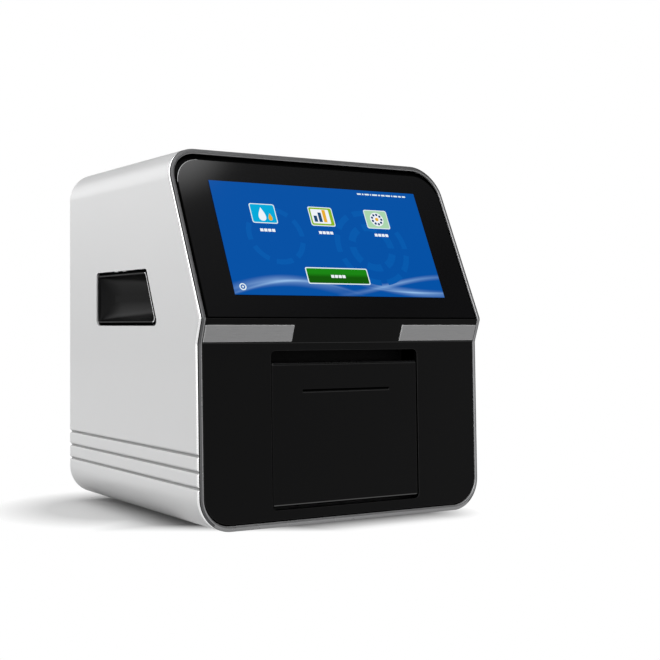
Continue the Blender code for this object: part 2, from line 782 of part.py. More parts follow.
def build_trim():
    """The grey ring that edges the front and follows its kinks."""
    layer = face_strip(0, TRIM_DEPTH, BASE_Z - CUT_OVERRUN, TOP_Z + CUT_OVERRUN)
    trim = prism("front_trim", layer, *wide_range(CUT_OVERRUN), "YZ", GREY_METAL)
    reach = (UPPER_KINK_Y - CUT_OVERRUN, TOP_FRONT_Y + TRIM_DEPTH + CUT_OVERRUN)
    keep(trim, prism("trim_outside", body_outline(0, 0), *reach, "XZ"))
    wider = (reach[0] - CUT_OVERRUN, reach[1] + CUT_OVERRUN)
    cut(trim, prism("trim_inside", body_outline(TRIM_SIDE_WIDTH, TRIM_END_WIDTH), *wider, "XZ"))


def fascia_outline():
    """Side outline of the black moulding: flush below and on the band, stepped back behind the glass."""
    low = BASE_Z - CUT_OVERRUN
    high = TOP_Z + CUT_OVERRUN
    front = [(face_y(z) + FASCIA_RECESS, z) for z in (low, LOWER_KINK_Z, UPPER_KINK_Z)]
    seat = [(face_y(z) + GLASS_SEAT, z) for z in (UPPER_KINK_Z, high)]
    upper_back = [(face_y(z) + GLASS_SEAT + FASCIA_THICKNESS, z) for z in (high, UPPER_KINK_Z)]
    lower_back = [(face_y(z) + FASCIA_RECESS + FASCIA_THICKNESS, z) for z in (LOWER_KINK_Z, low)]
    return front + seat + upper_back + lower_back


def bar_range(side, clearance):
    """Left and right end of an accent bar. It runs up to the ring at its outer end."""
    outer = HALF_WIDTH - TRIM_SIDE_WIDTH - TOUCH_GAP
    ends = (side * (outer - BAR_LENGTH - clearance), side * (outer + clearance))
    return min(ends), max(ends)


def bar_heights():
    low = LOWER_KINK_Z + BAR_RISE
    return low, low + BAR_HEIGHT


def build_fascia():
    """The black front moulding and the two metal bars let into its slanted band."""
    fascia = prism("front_fascia", fascia_outline(), *wide_range(CUT_OVERRUN), "YZ", SATIN_BLACK)
    inset = (TRIM_SIDE_WIDTH + TOUCH_GAP, TRIM_END_WIDTH + TOUCH_GAP)
    reach = (UPPER_KINK_Y - CUT_OVERRUN, TOP_FRONT_Y + GLASS_SEAT + FASCIA_THICKNESS + CUT_OVERRUN)
    keep(fascia, prism("fascia_outside", body_outline(*inset), *reach, "XZ"))
    opening = rectangle(-OPENING_HALF_WIDTH, OPENING_HALF_WIDTH, OPENING_LOW, OPENING_TOP)
    opening = rounded(opening, OPENING_CORNER_RADIUS, SMALL_CORNER_STEPS)
    cut(fascia, prism("drawer_opening", opening, TOE_Y - CUT_OVERRUN, FASCIA_BACK_Y + CUT_OVERRUN, "XZ"))
    half_width = DISPLAY_WIDTH / 2 + DISPLAY_CLEARANCE
    half_height = DISPLAY_HEIGHT / 2 + DISPLAY_CLEARANCE
    window = block(
        "display_window",
        (-half_width, half_width),
        (DISPLAY_CENTRE_RISE - half_height, DISPLAY_CENTRE_RISE + half_height),
        (-GLASS_SEAT - FASCIA_THICKNESS - CUT_OVERRUN, 0),
        frame=screen_frame(),
    )
    cut(fascia, window)
    low, high = bar_heights()
    pocket = face_strip(-CUT_OVERRUN, BAR_THICKNESS + TOUCH_GAP, low - TOUCH_GAP, high + TOUCH_GAP)
    layer = face_strip(0, BAR_THICKNESS, low, high)
    for name, side in (("left", -1), ("right", 1)):
        ends = bar_range(side, TOUCH_GAP)
        stretched = (ends[0] - CUT_OVERRUN, ends[1]) if side < 0 else (ends[0], ends[1] + CUT_OVERRUN)
        cut(fascia, prism("bar_pocket_" + name, pocket, *stretched, "YZ"))
        prism("accent_bar_" + name, layer, *bar_range(side, 0), "YZ", BRUSHED_GREY)


def screen_frame():
    """The frame of the slanted screen face: X across, Y up along the face, Z out of it."""
    return Matrix.Translation((0, UPPER_KINK_Y, UPPER_KINK_Z)) @ Matrix.Rotation(SCREEN_TILT, 4, "X")


def build_display():
    """Touch glass, display, the bracket behind it and the main board with its heat sink."""
    layer = face_strip(
        GLASS_RECESS, GLASS_RECESS + GLASS_THICKNESS, UPPER_KINK_Z + GLASS_FOOT_GAP, TOP_Z + CUT_OVERRUN
    )
    glass = prism("touch_glass", layer, *wide_range(CUT_OVERRUN), "YZ", GLOSS_BLACK)
    reach = (UPPER_KINK_Y - CUT_OVERRUN, TOP_FRONT_Y + GLASS_SEAT + CUT_OVERRUN)
    inset = (TRIM_SIDE_WIDTH + GLASS_SIDE_MARGIN, TRIM_END_WIDTH + GLASS_TOP_MARGIN)
    keep(glass, prism("glass_outside", body_outline(*inset), *reach, "XZ"))

    frame = screen_frame()
    front = -(GLASS_RECESS + GLASS_THICKNESS) * math.sin(SCREEN_TILT) - TOUCH_GAP
    back = front - DISPLAY_THICKNESS
    half_width = DISPLAY_WIDTH / 2
    half_height = DISPLAY_HEIGHT / 2
    rise = DISPLAY_CENTRE_RISE
    heights = (rise - half_height, rise + half_height)
    block("lcd_panel", (-half_width, half_width), heights, (back, front), SCREEN_BLUE, frame)

    plate_front = back - TOUCH_GAP
    plate_back = plate_front - BRACKET_THICKNESS
    bracket = block(
        "display_bracket",
        (-half_width + BRACKET_MARGIN, half_width - BRACKET_MARGIN),
        (heights[0] + BRACKET_MARGIN, heights[1] - BRACKET_MARGIN),
        (plate_back, plate_front),
        STEEL,
        frame,
    )
    board_half_width = MAIN_BOARD_WIDTH / 2
    board_half_height = MAIN_BOARD_HEIGHT / 2
    standoff_end = plate_back - STANDOFF_HEIGHT
    side_reach = board_half_width - STANDOFF_INSET
    end_reach = board_half_height - STANDOFF_INSET
    for right in (-1, 1):
        for up in (-1, 1):
            standoff = drum(
                f"standoff_{right}_{up}",
                (right * side_reach, rise + up * end_reach),
                STANDOFF_RADIUS, standoff_end, plate_back + BRACKET_THICKNESS / 2, "Z", sides=SCREW_SIDES,
            )
            standoff.matrix_world = frame @ standoff.matrix_world
            fuse(bracket, standoff)
    board_front = standoff_end - TOUCH_GAP
    board_back = board_front - BOARD_THICKNESS
    block(
        "main_board",
        (-board_half_width, board_half_width),
        (rise - board_half_height, rise + board_half_height),
        (board_back, board_front),
        BOARD_GREEN,
        frame,
    )
    sink_front = board_back - TOUCH_GAP
    sink_back = sink_front - HEATSINK_HEIGHT
    sink = block(
        "processor_heatsink",
        (-HEATSINK_SIDE / 2, HEATSINK_SIDE / 2),
        (rise - HEATSINK_SIDE / 2, rise + HEATSINK_SIDE / 2),
        (sink_back, sink_front),
        ALUMINIUM,
        frame,
    )
    pitch = HEATSINK_SIDE / (HEATSINK_SLOTS + 1)
    for slot in range(HEATSINK_SLOTS):
        middle = -HEATSINK_SIDE / 2 + (slot + 1) * pitch
        groove = block(
            f"heatsink_slot_{slot}",
            (middle - HEATSINK_SLOT / 2, middle + HEATSINK_SLOT / 2),
            (rise - HEATSINK_SIDE / 2 - CUT_OVERRUN, rise + HEATSINK_SIDE / 2 + CUT_OVERRUN),
            (sink_back - CUT_OVERRUN, sink_front - HEATSINK_BASE),
            frame=frame,
        )
        cut(sink, groove)


def handle_slope(name, side, wall):
    """The space down to the pocket's sloping floor, or down to the back of a wall behind it."""
    rear = REAR_Y - HANDLE_REAR_INSET
    front = rear - HANDLE_LOW_LENGTH
    low = BASE_Z + HANDLE_RISE
    outline = [
        (side * (HALF_WIDTH + CUT_OVERRUN), front),
        (side * (HALF_WIDTH + CUT_OVERRUN), rear),
        (side * (HALF_WIDTH - HANDLE_REAR_DEPTH - wall), rear),
        (side * (HALF_WIDTH - HANDLE_DEPTH - wall), front),
    ]
    return prism(name, outline, low - CUT_OVERRUN, low + HANDLE_HEIGHT + CUT_OVERRUN, "XY")


def build_handles():
    """A black cup let into each side: a narrow rim round a pocket that deepens towards the front."""
    for name, side in (("left", -1), ("right", 1)):
        face = side * HALF_WIDTH
        flange_end = face - side * HANDLE_FLANGE
        cup = prism("side_handle_" + name, handle_outline(0), face, flange_end, "YZ", GLOSS_BLACK)
        mouth = -HANDLE_RIM_WIDTH - HANDLE_LIP
        body = prism(
            "handle_body_" + name,
            handle_outline(mouth + HANDLE_WALL),
            face - side * HANDLE_FLANGE / 2,
            face - side * (HANDLE_DEPTH + HANDLE_WALL),
            "YZ",
        )
        keep(body, handle_slope("handle_body_slope_" + name, side, HANDLE_WALL))
        fuse(cup, body)
        hollows = {
            "rim": (
                (face + side * HANDLE_RIM_DEPTH, handle_outline(HANDLE_RIM_WIDTH - HANDLE_LIP)),
                (face - side * HANDLE_RIM_DEPTH, handle_outline(mouth)),
            ),
            "pocket": (
                (face, handle_outline(mouth)),
                (face - side * HANDLE_DEPTH, handle_outline(mouth - HANDLE_DRAFT)),
            ),
        }
        for hollow, ends in hollows.items():
            (low, first), (high, second) = sorted(ends)
            tool = loft(f"handle_{hollow}_{name}", first, second, low, high, "YZ")
            if hollow == "pocket":
                keep(tool, handle_slope("handle_pocket_slope_" + name, side, 0))
            cut(cup, tool)


def build_drawer():
    """The drawer front, the tray with its disc well, both runners and the rack, all on the slide's axis."""
    low_edge = face_strip(
        FASCIA_RECESS, FASCIA_RECESS + DRAWER_FRONT_THICKNESS, DRAWER_LOW, DRAWER_TOP
    )
    half = DRAWER_WIDTH / 2
    front = prism("drawer_front", low_edge, -half, half, "YZ", SATIN_BLACK)
    round_edges(front, DRAWER_EDGE_ROUND)
    slit_z = DRAWER_LOW + SLIT_RISE
    slit_y = face_y(slit_z) + FASCIA_RECESS
    slit = block(
        "front_slit",
        (-SLIT_LENGTH / 2, SLIT_LENGTH / 2),
        (slit_y - CUT_OVERRUN, slit_y + SLIT_DEPTH),
        (slit_z - SLIT_WIDTH / 2, slit_z + SLIT_WIDTH / 2),
    )
    cut(front, slit)

    tray = block(
        "drawer_tray", (-TRAY_HALF_WIDTH, TRAY_HALF_WIDTH), (TRAY_START_Y, TRAY_END_Y), (TRAY_LOW, TRAY_TOP),
        DARK_PLASTIC,
    )
    spin = (0, SPIN_Y)
    cut(tray, drum("disc_well", spin, WELL_RADIUS, WELL_FLOOR_Z, TRAY_TOP + CUT_OVERRUN, "Z"))
    notch_end = SPIN_Y + WELL_RADIUS + FINGER_NOTCH_REACH
    notch = block(
        "finger_notch", (-FINGER_NOTCH_WIDTH / 2, FINGER_NOTCH_WIDTH / 2),
        (2 * SPIN_Y - notch_end, notch_end), (WELL_FLOOR_Z, TRAY_TOP + 2 * CUT_OVERRUN),
    )
    cut(tray, notch)
    through = (TRAY_LOW - CUT_OVERRUN, WELL_FLOOR_Z + CUT_OVERRUN)
    cut(tray, drum("spindle_hole", spin, SPIN_HOLE_RADIUS, *through, "Z", sides=SMALL_ROUND_SIDES))
    cut(tray, drum("light_window", (0, OPTIC_Y), WINDOW_RADIUS, *through, "Z", sides=SCREW_SIDES))

    runners = []
    for name, side in (("left", -1), ("right", 1)):
        ends = sorted((side * RUNNER_INNER_X, side * RUNNER_OUTER_X))
        reach = (TRAY_START_Y, RUNNER_END_Y)
        runners.append(block("runner_" + name, ends, reach, (RUNNER_LOW, RUNNER_TOP), STEEL))

    motor = drum(
        "spin_motor", spin, SPIN_MOTOR_RADIUS, MOTOR_TOP - SPIN_MOTOR_HEIGHT, MOTOR_TOP, "Z", STEEL
    )
    neck_low = MOTOR_TOP - SPIN_MOTOR_HEIGHT - SPIN_MOTOR_STEP
    neck_high = MOTOR_TOP - SPIN_MOTOR_HEIGHT + SPIN_MOTOR_STEP
    fuse(motor, drum("spin_motor_neck", spin, SPIN_MOTOR_RADIUS / 2, neck_low, neck_high, "Z"))

    axis = add_axis("drawer_axis", (0, DRAWER_BACK_Y, DRAWER_LOW))
    carry(axis, [front, tray, motor, build_rack(), *runners])
    build_turntable(axis)


def build_turntable(drawer_axis):
    """The spinning plate, its hub and its shaft, on the spindle's axis in the drawer."""
    spin = (0, SPIN_Y)
    rim_top = TURNTABLE_TOP + TURNTABLE_RIM_HEIGHT
    plate = drum("turntable", spin, TURNTABLE_RADIUS, TURNTABLE_LOW, rim_top, "Z", ALUMINIUM)
    dish = drum(
        "turntable_dish", spin, TURNTABLE_RADIUS - TURNTABLE_RIM_WIDTH, TURNTABLE_TOP, rim_top + CUT_OVERRUN,
        "Z",
    )
    cut(plate, dish)
    pin = drum(
        "drive_pin", (DRIVE_PIN_PLACE, SPIN_Y), DRIVE_PIN_RADIUS, TURNTABLE_LOW + TURNTABLE_THICKNESS / 2,
        TURNTABLE_TOP + HUB_HEIGHT / 2, "Z", sides=SCREW_SIDES,
    )
    fuse(plate, pin)
    hub_low = TURNTABLE_TOP + TOUCH_GAP
    hub_top = hub_low + HUB_HEIGHT
    hub = drum("disc_hub", spin, HUB_RADIUS, hub_low, hub_top, "Z", DARK_PLASTIC, SMALL_ROUND_SIDES)
    round_edges(hub, HUB_CHAMFER / 2)
    shaft = drum(
        "spindle_shaft", spin, SPIN_SHAFT_RADIUS, MOTOR_TOP + TOUCH_GAP, TURNTABLE_LOW - TOUCH_GAP, "Z",
        STEEL, SMALL_ROUND_SIDES,
    )
    carry(add_axis("turntable_axis", (0, SPIN_Y, TURNTABLE_LOW), drawer_axis), [plate, hub, shaft])


def involute_angle(base_radius, radius):
    """The angle that an involute has swept where it reaches a radius."""
    pressure = math.acos(base_radius / radius)
    return math.tan(pressure) - pressure


def pinion_outline():
    """Involute teeth round the pinion's axis, with one tooth pointing straight up."""
    pitch = PINION_PITCH_RADIUS
    base = pitch * math.cos(PRESSURE_ANGLE)
    root = pitch - DEDENDUM
    tip = pitch + ADDENDUM
    half_tooth = TOOTH_SHARE * math.pi / PINION_TEETH
    points = []
    for tooth in range(PINION_TEETH):
        middle = math.pi / 2 - tooth * 2 * math.pi / PINION_TEETH
        flank = []
        for step in range(FLANK_STEPS + 1):
            radius = base + (tip - base) * step / FLANK_STEPS
            swing = half_tooth + involute_angle(base, pitch) - involute_angle(base, radius)
            flank.append((radius, swing))
        flank.insert(0, (root, flank[0][1]))
        rising = [(radius, middle + swing) for radius, swing in flank]
        falling = [(radius, middle - swing) for radius, swing in reversed(flank)]
        points += [(radius * math.cos(turn), radius * math.sin(turn)) for radius, turn in rising + falling]
    return points


def build_rack():
    """A toothed bar under the tray's left edge, its teeth facing down at the pinion."""
    tip_z = RACK_PITCH_Z - ADDENDUM
    root_z = RACK_PITCH_Z + DEDENDUM
    slope = math.tan(PRESSURE_ANGLE)
    half_tip = TOOTH_SHARE * TOOTH_PITCH / 2 - slope * ADDENDUM
    half_root = TOOTH_SHARE * TOOTH_PITCH / 2 + slope * DEDENDUM
    start = TRAY_START_Y
    finish = start + RACK_LENGTH
    points = [(finish, RACK_TOP), (start, RACK_TOP)]
    first = math.ceil((start + half_root - PINION_Y) / TOOTH_PITCH - 1 / 2)
    last = math.floor((finish - half_root - PINION_Y) / TOOTH_PITCH - 1 / 2)
    points.append((start, root_z))
    for tooth in range(first, last + 1):
        middle = PINION_Y + (tooth + 1 / 2) * TOOTH_PITCH
        points += [
            (middle - half_root, root_z),
            (middle - half_tip, tip_z),
            (middle + half_tip, tip_z),
            (middle + half_root, root_z),
        ]
    points.append((finish, root_z))
    return prism("drawer_rack", points, RACK_OUTER_X, RACK_INNER_X, "YZ", WHITE_PLASTIC)


def build_drawer_drive():
    """The pinion and shaft on their own axis, and the fixed gear motor beside the cradle."""
    outline = [(PINION_Y + y, PINION_Z + z) for y, z in pinion_outline()]
    pinion = prism("drawer_pinion", outline, RACK_OUTER_X, RACK_INNER_X, "YZ", WHITE_PLASTIC)
    centre = (PINION_Y, PINION_Z)
    reach = (RACK_OUTER_X - CUT_OVERRUN, RACK_INNER_X + CUT_OVERRUN)
    bore_radius = PINION_SHAFT_RADIUS + TOUCH_GAP
    cut(pinion, drum("pinion_bore", centre, bore_radius, *reach, "X", sides=SMALL_ROUND_SIDES))
    motor_face = -CRADLE_OUTER_X - TOUCH_GAP
    shaft = drum(
        "pinion_shaft", centre, PINION_SHAFT_RADIUS, motor_face + TOUCH_GAP, RACK_INNER_X, "X", STEEL,
        SMALL_ROUND_SIDES,
    )
    carry(add_axis("pinion_axis", (RACK_OUTER_X, PINION_Y, PINION_Z)), [pinion, shaft])
    body_end = motor_face - DRAWER_MOTOR_NOSE
    motor = drum(
        "drawer_motor", centre, DRAWER_MOTOR_RADIUS, DRAWER_MOTOR_WALL_GAP - INNER_HALF_WIDTH, body_end, "X",
        STEEL, SMALL_ROUND_SIDES,
    )
    nose = drum(
        "drawer_motor_nose", centre, DRAWER_MOTOR_NOSE_RADIUS, body_end - DRAWER_MOTOR_NOSE, motor_face, "X",
        sides=SMALL_ROUND_SIDES,
    )
    fuse(motor, nose)


def build_base():
    """The base plate on the shell's bosses, the U-shaped cradle on it and the two guide rails."""
    half_width = INNER_HALF_WIDTH - BASE_PLATE_SIDE_GAP
    block(
        "base_plate",
        (-half_width, half_width),
        (FASCIA_BACK_Y + BASE_PLATE_END_INSET / 2, REAR_PANEL_IN_Y - BASE_PLATE_END_INSET),
        (BASE_PLATE_LOW, BASE_PLATE_TOP),
        STEEL,
    )
    cradle = block(
        "drawer_cradle", (-CRADLE_OUTER_X, CRADLE_OUTER_X), (RAIL_START_Y, CRADLE_END_Y),
        (CRADLE_LOW, CRADLE_TOP), STEEL,
    )
    channel = block(
        "cradle_channel", (-CRADLE_INNER_X, CRADLE_INNER_X),
        (RAIL_START_Y - CUT_OVERRUN, CRADLE_END_Y + CUT_OVERRUN),
        (CRADLE_LOW + CRADLE_WALL, CRADLE_TOP + CUT_OVERRUN),
    )
    cut(cradle, channel)
    wall = (-CRADLE_OUTER_X - CUT_OVERRUN, -CRADLE_INNER_X + CUT_OVERRUN)
    hole_radius = PINION_SHAFT_RADIUS + TOUCH_GAP
    cut(cradle, drum("shaft_hole", (PINION_Y, PINION_Z), hole_radius, *wall, "X", sides=SMALL_ROUND_SIDES))
    for name, side in (("left", -1), ("right", 1)):
        reach = (RAIL_START_Y, RAIL_END_Y)
        low = RUNNER_LOW - RUNNING_GAP
        high = RUNNER_TOP + RUNNING_GAP
        rail = block(
            "guide_rail_" + name, sorted((side * RAIL_INNER_X, side * RAIL_OUTER_X)), reach,
            (low - RAIL_LIP, high + RAIL_LIP), STEEL,
        )
        groove = block(
            "rail_groove_" + name, sorted((side * (RAIL_INNER_X - CUT_OVERRUN), side * RAIL_GROOVE_X)),
            (reach[0] - CUT_OVERRUN, reach[1] + CUT_OVERRUN), (low, high),
        )
        cut(rail, groove)


def build_optics():
    """The bridge over the drawer, which carries the heating plate, optics and code reader."""
    bridge = block(
        "optics_bridge", (-CRADLE_OUTER_X, CRADLE_OUTER_X), (bridge_start(), CRADLE_END_Y),
        (BRIDGE_LOW, BRIDGE_TOP), STEEL,
    )
    heater_high = BRIDGE_LOW - HEATER_DROP
    heater_low = heater_high - HEATER_THICKNESS
    heater = drum("heating_plate", (0, SPIN_Y), WELL_RADIUS, heater_low, heater_high, "Z", ALUMINIUM)
    reader_x = READER_SIDE_PLACE
    reader_y = SPIN_Y - READER_FORWARD_PLACE
    light = (0, OPTIC_Y)
    through = (heater_low - CUT_OVERRUN, BRIDGE_TOP + CUT_OVERRUN)
    for piece in (bridge, heater):
        hole = piece.name + "_light_hole"
        cut(piece, drum(hole, light, OPTIC_HOLE_RADIUS, *through, "Z", sides=SMALL_ROUND_SIDES))
        hole = piece.name + "_code_hole"
        code = (reader_x, reader_y)
        cut(piece, drum(hole, code, READER_WINDOW_RADIUS, *through, "Z", sides=SCREW_SIDES))
    build_light_shield()
    seat = BRIDGE_TOP + TOUCH_GAP
    half = OPTIC_BLOCK_WIDTH / 2
    start = OPTIC_Y - OPTIC_BLOCK_LEAD
    block_top = seat + OPTIC_BLOCK_HEIGHT
    housing = block(
        "optical_block", (-half, half), (start, start + OPTIC_BLOCK_LENGTH), (seat, block_top), ALUMINIUM
    )
    round_edges(housing, TOUCH_GAP, 1)
    lens_top = heater_low + LENS_LENGTH
    bore = (seat - CUT_OVERRUN, lens_top + TOUCH_GAP)
    cut(housing, drum("lens_bore", light, OPTIC_HOLE_RADIUS, *bore, "Z", sides=SMALL_ROUND_SIDES))
    drum("lens_barrel", light, LENS_RADIUS, heater_low, lens_top, "Z", GLASS_CLEAR, SMALL_ROUND_SIDES)
    lamp = (block_top + TOUCH_GAP, block_top + TOUCH_GAP + LAMP_HEIGHT)
    drum("flash_lamp", light, LAMP_RADIUS, *lamp, "Z", DARK_PLASTIC, SMALL_ROUND_SIDES)
    block(
        "code_reader",
        (reader_x - READER_WIDTH / 2, reader_x + READER_WIDTH / 2),
        (reader_y - READER_LENGTH / 2, reader_y + READER_LENGTH / 2),
        (seat, seat + READER_HEIGHT),
        DARK_PLASTIC,
    )
    build_detector()


def build_detector():
    """The light detector on the cradle's floor, under the window in the tray."""
    floor = CRADLE_LOW + CRADLE_WALL + TOUCH_GAP
    pedestal = block(
        "detector_block",
        (-DETECTOR_WIDTH / 2, DETECTOR_WIDTH / 2),
        (OPTIC_Y - DETECTOR_LENGTH / 2, OPTIC_Y + DETECTOR_LENGTH / 2),
        (floor, floor + DETECTOR_HEIGHT),
        ALUMINIUM,
    )
    round_edges(pedestal, TOUCH_GAP, 1)
    board_low = floor + DETECTOR_HEIGHT + TOUCH_GAP
    half_width = DETECTOR_WIDTH / 2 + DETECTOR_BOARD_MARGIN
    half_length = DETECTOR_LENGTH / 2 + DETECTOR_BOARD_MARGIN
    board = block(
        "detector_board",
        (-half_width, half_width),
        (OPTIC_Y - half_length, OPTIC_Y + half_length),
        (board_low, board_low + BOARD_THICKNESS),
        BOARD_GREEN,
    )
    eye = drum(
        "detector_eye", (0, OPTIC_Y), DETECTOR_EYE_RADIUS, board_low + BOARD_THICKNESS / 2,
        board_low + BOARD_THICKNESS + DETECTOR_EYE_HEIGHT, "Z", sides=SCREW_SIDES,
    )
    fuse(board, eye)


def build_light_shield():
    """A black angle between the front moulding and the bridge that keeps daylight out of the optics."""
    wall_back = bridge_start() - TOUCH_GAP
    wall_front = wall_back - SHIELD_THICKNESS
    shelf_low = OPENING_TOP + TOUCH_GAP
    shelf_high = shelf_low + SHIELD_THICKNESS
    wall_low = BRIDGE_LOW + SHIELD_CLEARANCE
    outline = [
        (FASCIA_BACK_Y + TOUCH_GAP, shelf_low),
        (wall_front, shelf_low),
        (wall_front, wall_low),
        (wall_back, wall_low),
        (wall_back, shelf_high),
        (FASCIA_BACK_Y + TOUCH_GAP, shelf_high),
    ]
    prism("light_shield", outline, -OPENING_HALF_WIDTH, OPENING_HALF_WIDTH, "YZ", SATIN_BLACK)


def bridge_start():
    return RAIL_START_Y + BRIDGE_SETBACK


def build_power_supply():
    """A closed supply on the base plate beside the cradle."""
    inner = CRADLE_OUTER_X + SUPPLY_SIDE_GAP
    outer = INNER_HALF_WIDTH - SUPPLY_WALL_GAP
    start = CRADLE_END_Y - SUPPLY_LENGTH
    low = BASE_PLATE_TOP + TOUCH_GAP
    box = block(
        "power_supply", (inner, outer), (start, start + SUPPLY_LENGTH),
        (low, low + SUPPLY_HEIGHT), STEEL,
    )
    round_edges(box, 2 * TOUCH_GAP, 1)


def vent_slots(name, piece, centre_x):
    """Cuts a field of upright slots with round ends through the rear panel."""
    half = VENT_FIELD_SIDE / 2
    half_slot = VENT_SLOT_WIDTH / 2
    first = -(VENT_SLOTS - 1) / 2 * VENT_SLOT_PITCH
    for slot in range(VENT_SLOTS):
        middle = centre_x + first + slot * VENT_SLOT_PITCH
        outline = rectangle(middle - half_slot, middle + half_slot, FAN_Z - half, FAN_Z + half)
        outline = rounded(outline, half_slot - WELD_DISTANCE, SMALL_CORNER_STEPS)
        through = (REAR_PANEL_IN_Y - CUT_OVERRUN, REAR_PANEL_OUT_Y + CUT_OVERRUN)
        cut(piece, prism(f"{name}_{slot}", outline, *through, "XZ"))


def build_rear_panel():
    """The steel panel that closes the rear, with its vents, its cut-outs and its screws."""
    inset = SHELL_WALL + TOUCH_GAP
    panel = prism("rear_panel", body_outline(inset, inset), REAR_PANEL_IN_Y, REAR_PANEL_OUT_Y, "XZ", STEEL)
    vent_slots("fan_vent", panel, FAN_X)
    vent_slots("speaker_vent", panel, SPEAKER_X)
    through = (REAR_PANEL_IN_Y - CUT_OVERRUN, REAR_PANEL_OUT_Y + CUT_OVERRUN)
    for name, x, z, width, height, _ in port_places():
        xs = (x - width / 2 - TOUCH_GAP, x + width / 2 + TOUCH_GAP)
        zs = (z - height / 2 - TOUCH_GAP, z + height / 2 + TOUCH_GAP)
        cut(panel, block("hole_" + name, xs, through, zs))
    half_width, half_height = inlet_body_half()
    hole = block(
        "hole_inlet",
        (INLET_X - half_width - TOUCH_GAP, INLET_X + half_width + TOUCH_GAP),
        through,
        (INLET_Z - half_height - TOUCH_GAP, INLET_Z + half_height + TOUCH_GAP),
    )
    cut(panel, hole)
    head_low = REAR_PANEL_OUT_Y + TOUCH_GAP
    head_high = head_low + SCREW_HEAD_HEIGHT
    for number, (x, z) in enumerate(screw_places(), start=1):
        hole = drum(f"screw_hole_{number}", (x, z), SCREW_HOLE_RADIUS, *through, "Y", sides=SCREW_SIDES)
        cut(panel, hole)
        head = drum(
            f"rear_screw_{number}", (x, z), SCREW_HEAD_RADIUS, head_low, head_high, "Y", STEEL, SCREW_SIDES
        )
        shank = drum(
            f"screw_shank_{number}", (x, z), SCREW_SHANK_RADIUS, REAR_PANEL_IN_Y, (head_low + head_high) / 2,
            "Y", sides=SCREW_SIDES,
        )
        fuse(head, shank)
        slot = block(
            f"screw_slot_{number}",
            (x - SCREW_HEAD_RADIUS - CUT_OVERRUN, x + SCREW_HEAD_RADIUS + CUT_OVERRUN),
            (head_high - SCREW_SLOT_DEPTH, head_high + CUT_OVERRUN),
            (z - SCREW_SLOT_WIDTH / 2, z + SCREW_SLOT_WIDTH / 2),
        )
        cut(head, slot)


def build_fan():
    """A square fan frame behind the panel and the rotor that spins in it."""
    back = REAR_PANEL_IN_Y - TOUCH_GAP
    front = back - FAN_DEPTH
    half = FAN_SIDE / 2
    square = rectangle(FAN_X - half, FAN_X + half, FAN_Z - half, FAN_Z + half)
    square = rounded(square, FAN_CORNER_RADIUS, SMALL_CORNER_STEPS)
    frame = prism("fan_frame", square, front, back, "XZ", DARK_PLASTIC)
    centre = (FAN_X, FAN_Z)
    cut(frame, drum("fan_duct", centre, FAN_DUCT_RADIUS, front - CUT_OVERRUN, back + CUT_OVERRUN, "Y"))
    strut_back = front + FAN_STRUT_DEPTH
    for number in range(2):
        turn = Matrix.Rotation(math.pi / 4 + number * math.pi / 2, 4, "Y")
        place = Matrix.Translation((FAN_X, 0, FAN_Z)) @ turn
        length = FAN_DUCT_RADIUS + CUT_OVERRUN
        strut = block(
            f"fan_strut_{number}", (-length, length), (front, strut_back),
            (-FAN_STRUT_WIDTH / 2, FAN_STRUT_WIDTH / 2), frame=place,
        )
        fuse(frame, strut)
    seat = (front, strut_back)
    fuse(frame, drum("fan_motor_seat", centre, FAN_HUB_RADIUS, *seat, "Y", sides=SMALL_ROUND_SIDES))
    hub_front = strut_back + TOUCH_GAP
    rotor = drum(
        "fan_rotor", centre, FAN_HUB_RADIUS - TOUCH_GAP, hub_front, back - FAN_TIP_GAP, "Y", DARK_PLASTIC,
        SMALL_ROUND_SIDES,
    )
    blade_middle = (hub_front + back - FAN_TIP_GAP) / 2
    place_hub = Matrix.Translation((FAN_X, blade_middle, FAN_Z))
    pitch = Matrix.Rotation(FAN_BLADE_PITCH, 4, "X")
    for number in range(FAN_BLADES):
        spin = Matrix.Rotation(number * 2 * math.pi / FAN_BLADES, 4, "Y")
        place = place_hub @ spin @ pitch
        blade = block(
            f"fan_blade_{number}",
            (FAN_HUB_RADIUS - FAN_BLADE_ROOT, FAN_DUCT_RADIUS - FAN_TIP_GAP),
            (-FAN_BLADE_THICKNESS / 2, FAN_BLADE_THICKNESS / 2),
            (-FAN_BLADE_CHORD / 2, FAN_BLADE_CHORD / 2),
            frame=place,
        )
        fuse(rotor, blade)
    carry(add_axis("fan_axis", (FAN_X, blade_middle, FAN_Z)), [rotor])


def inlet_body_half():
    return INLET_FLANGE_WIDTH / 2 - INLET_BODY_MARGIN, INLET_FLANGE_HEIGHT / 2 - INLET_BODY_MARGIN


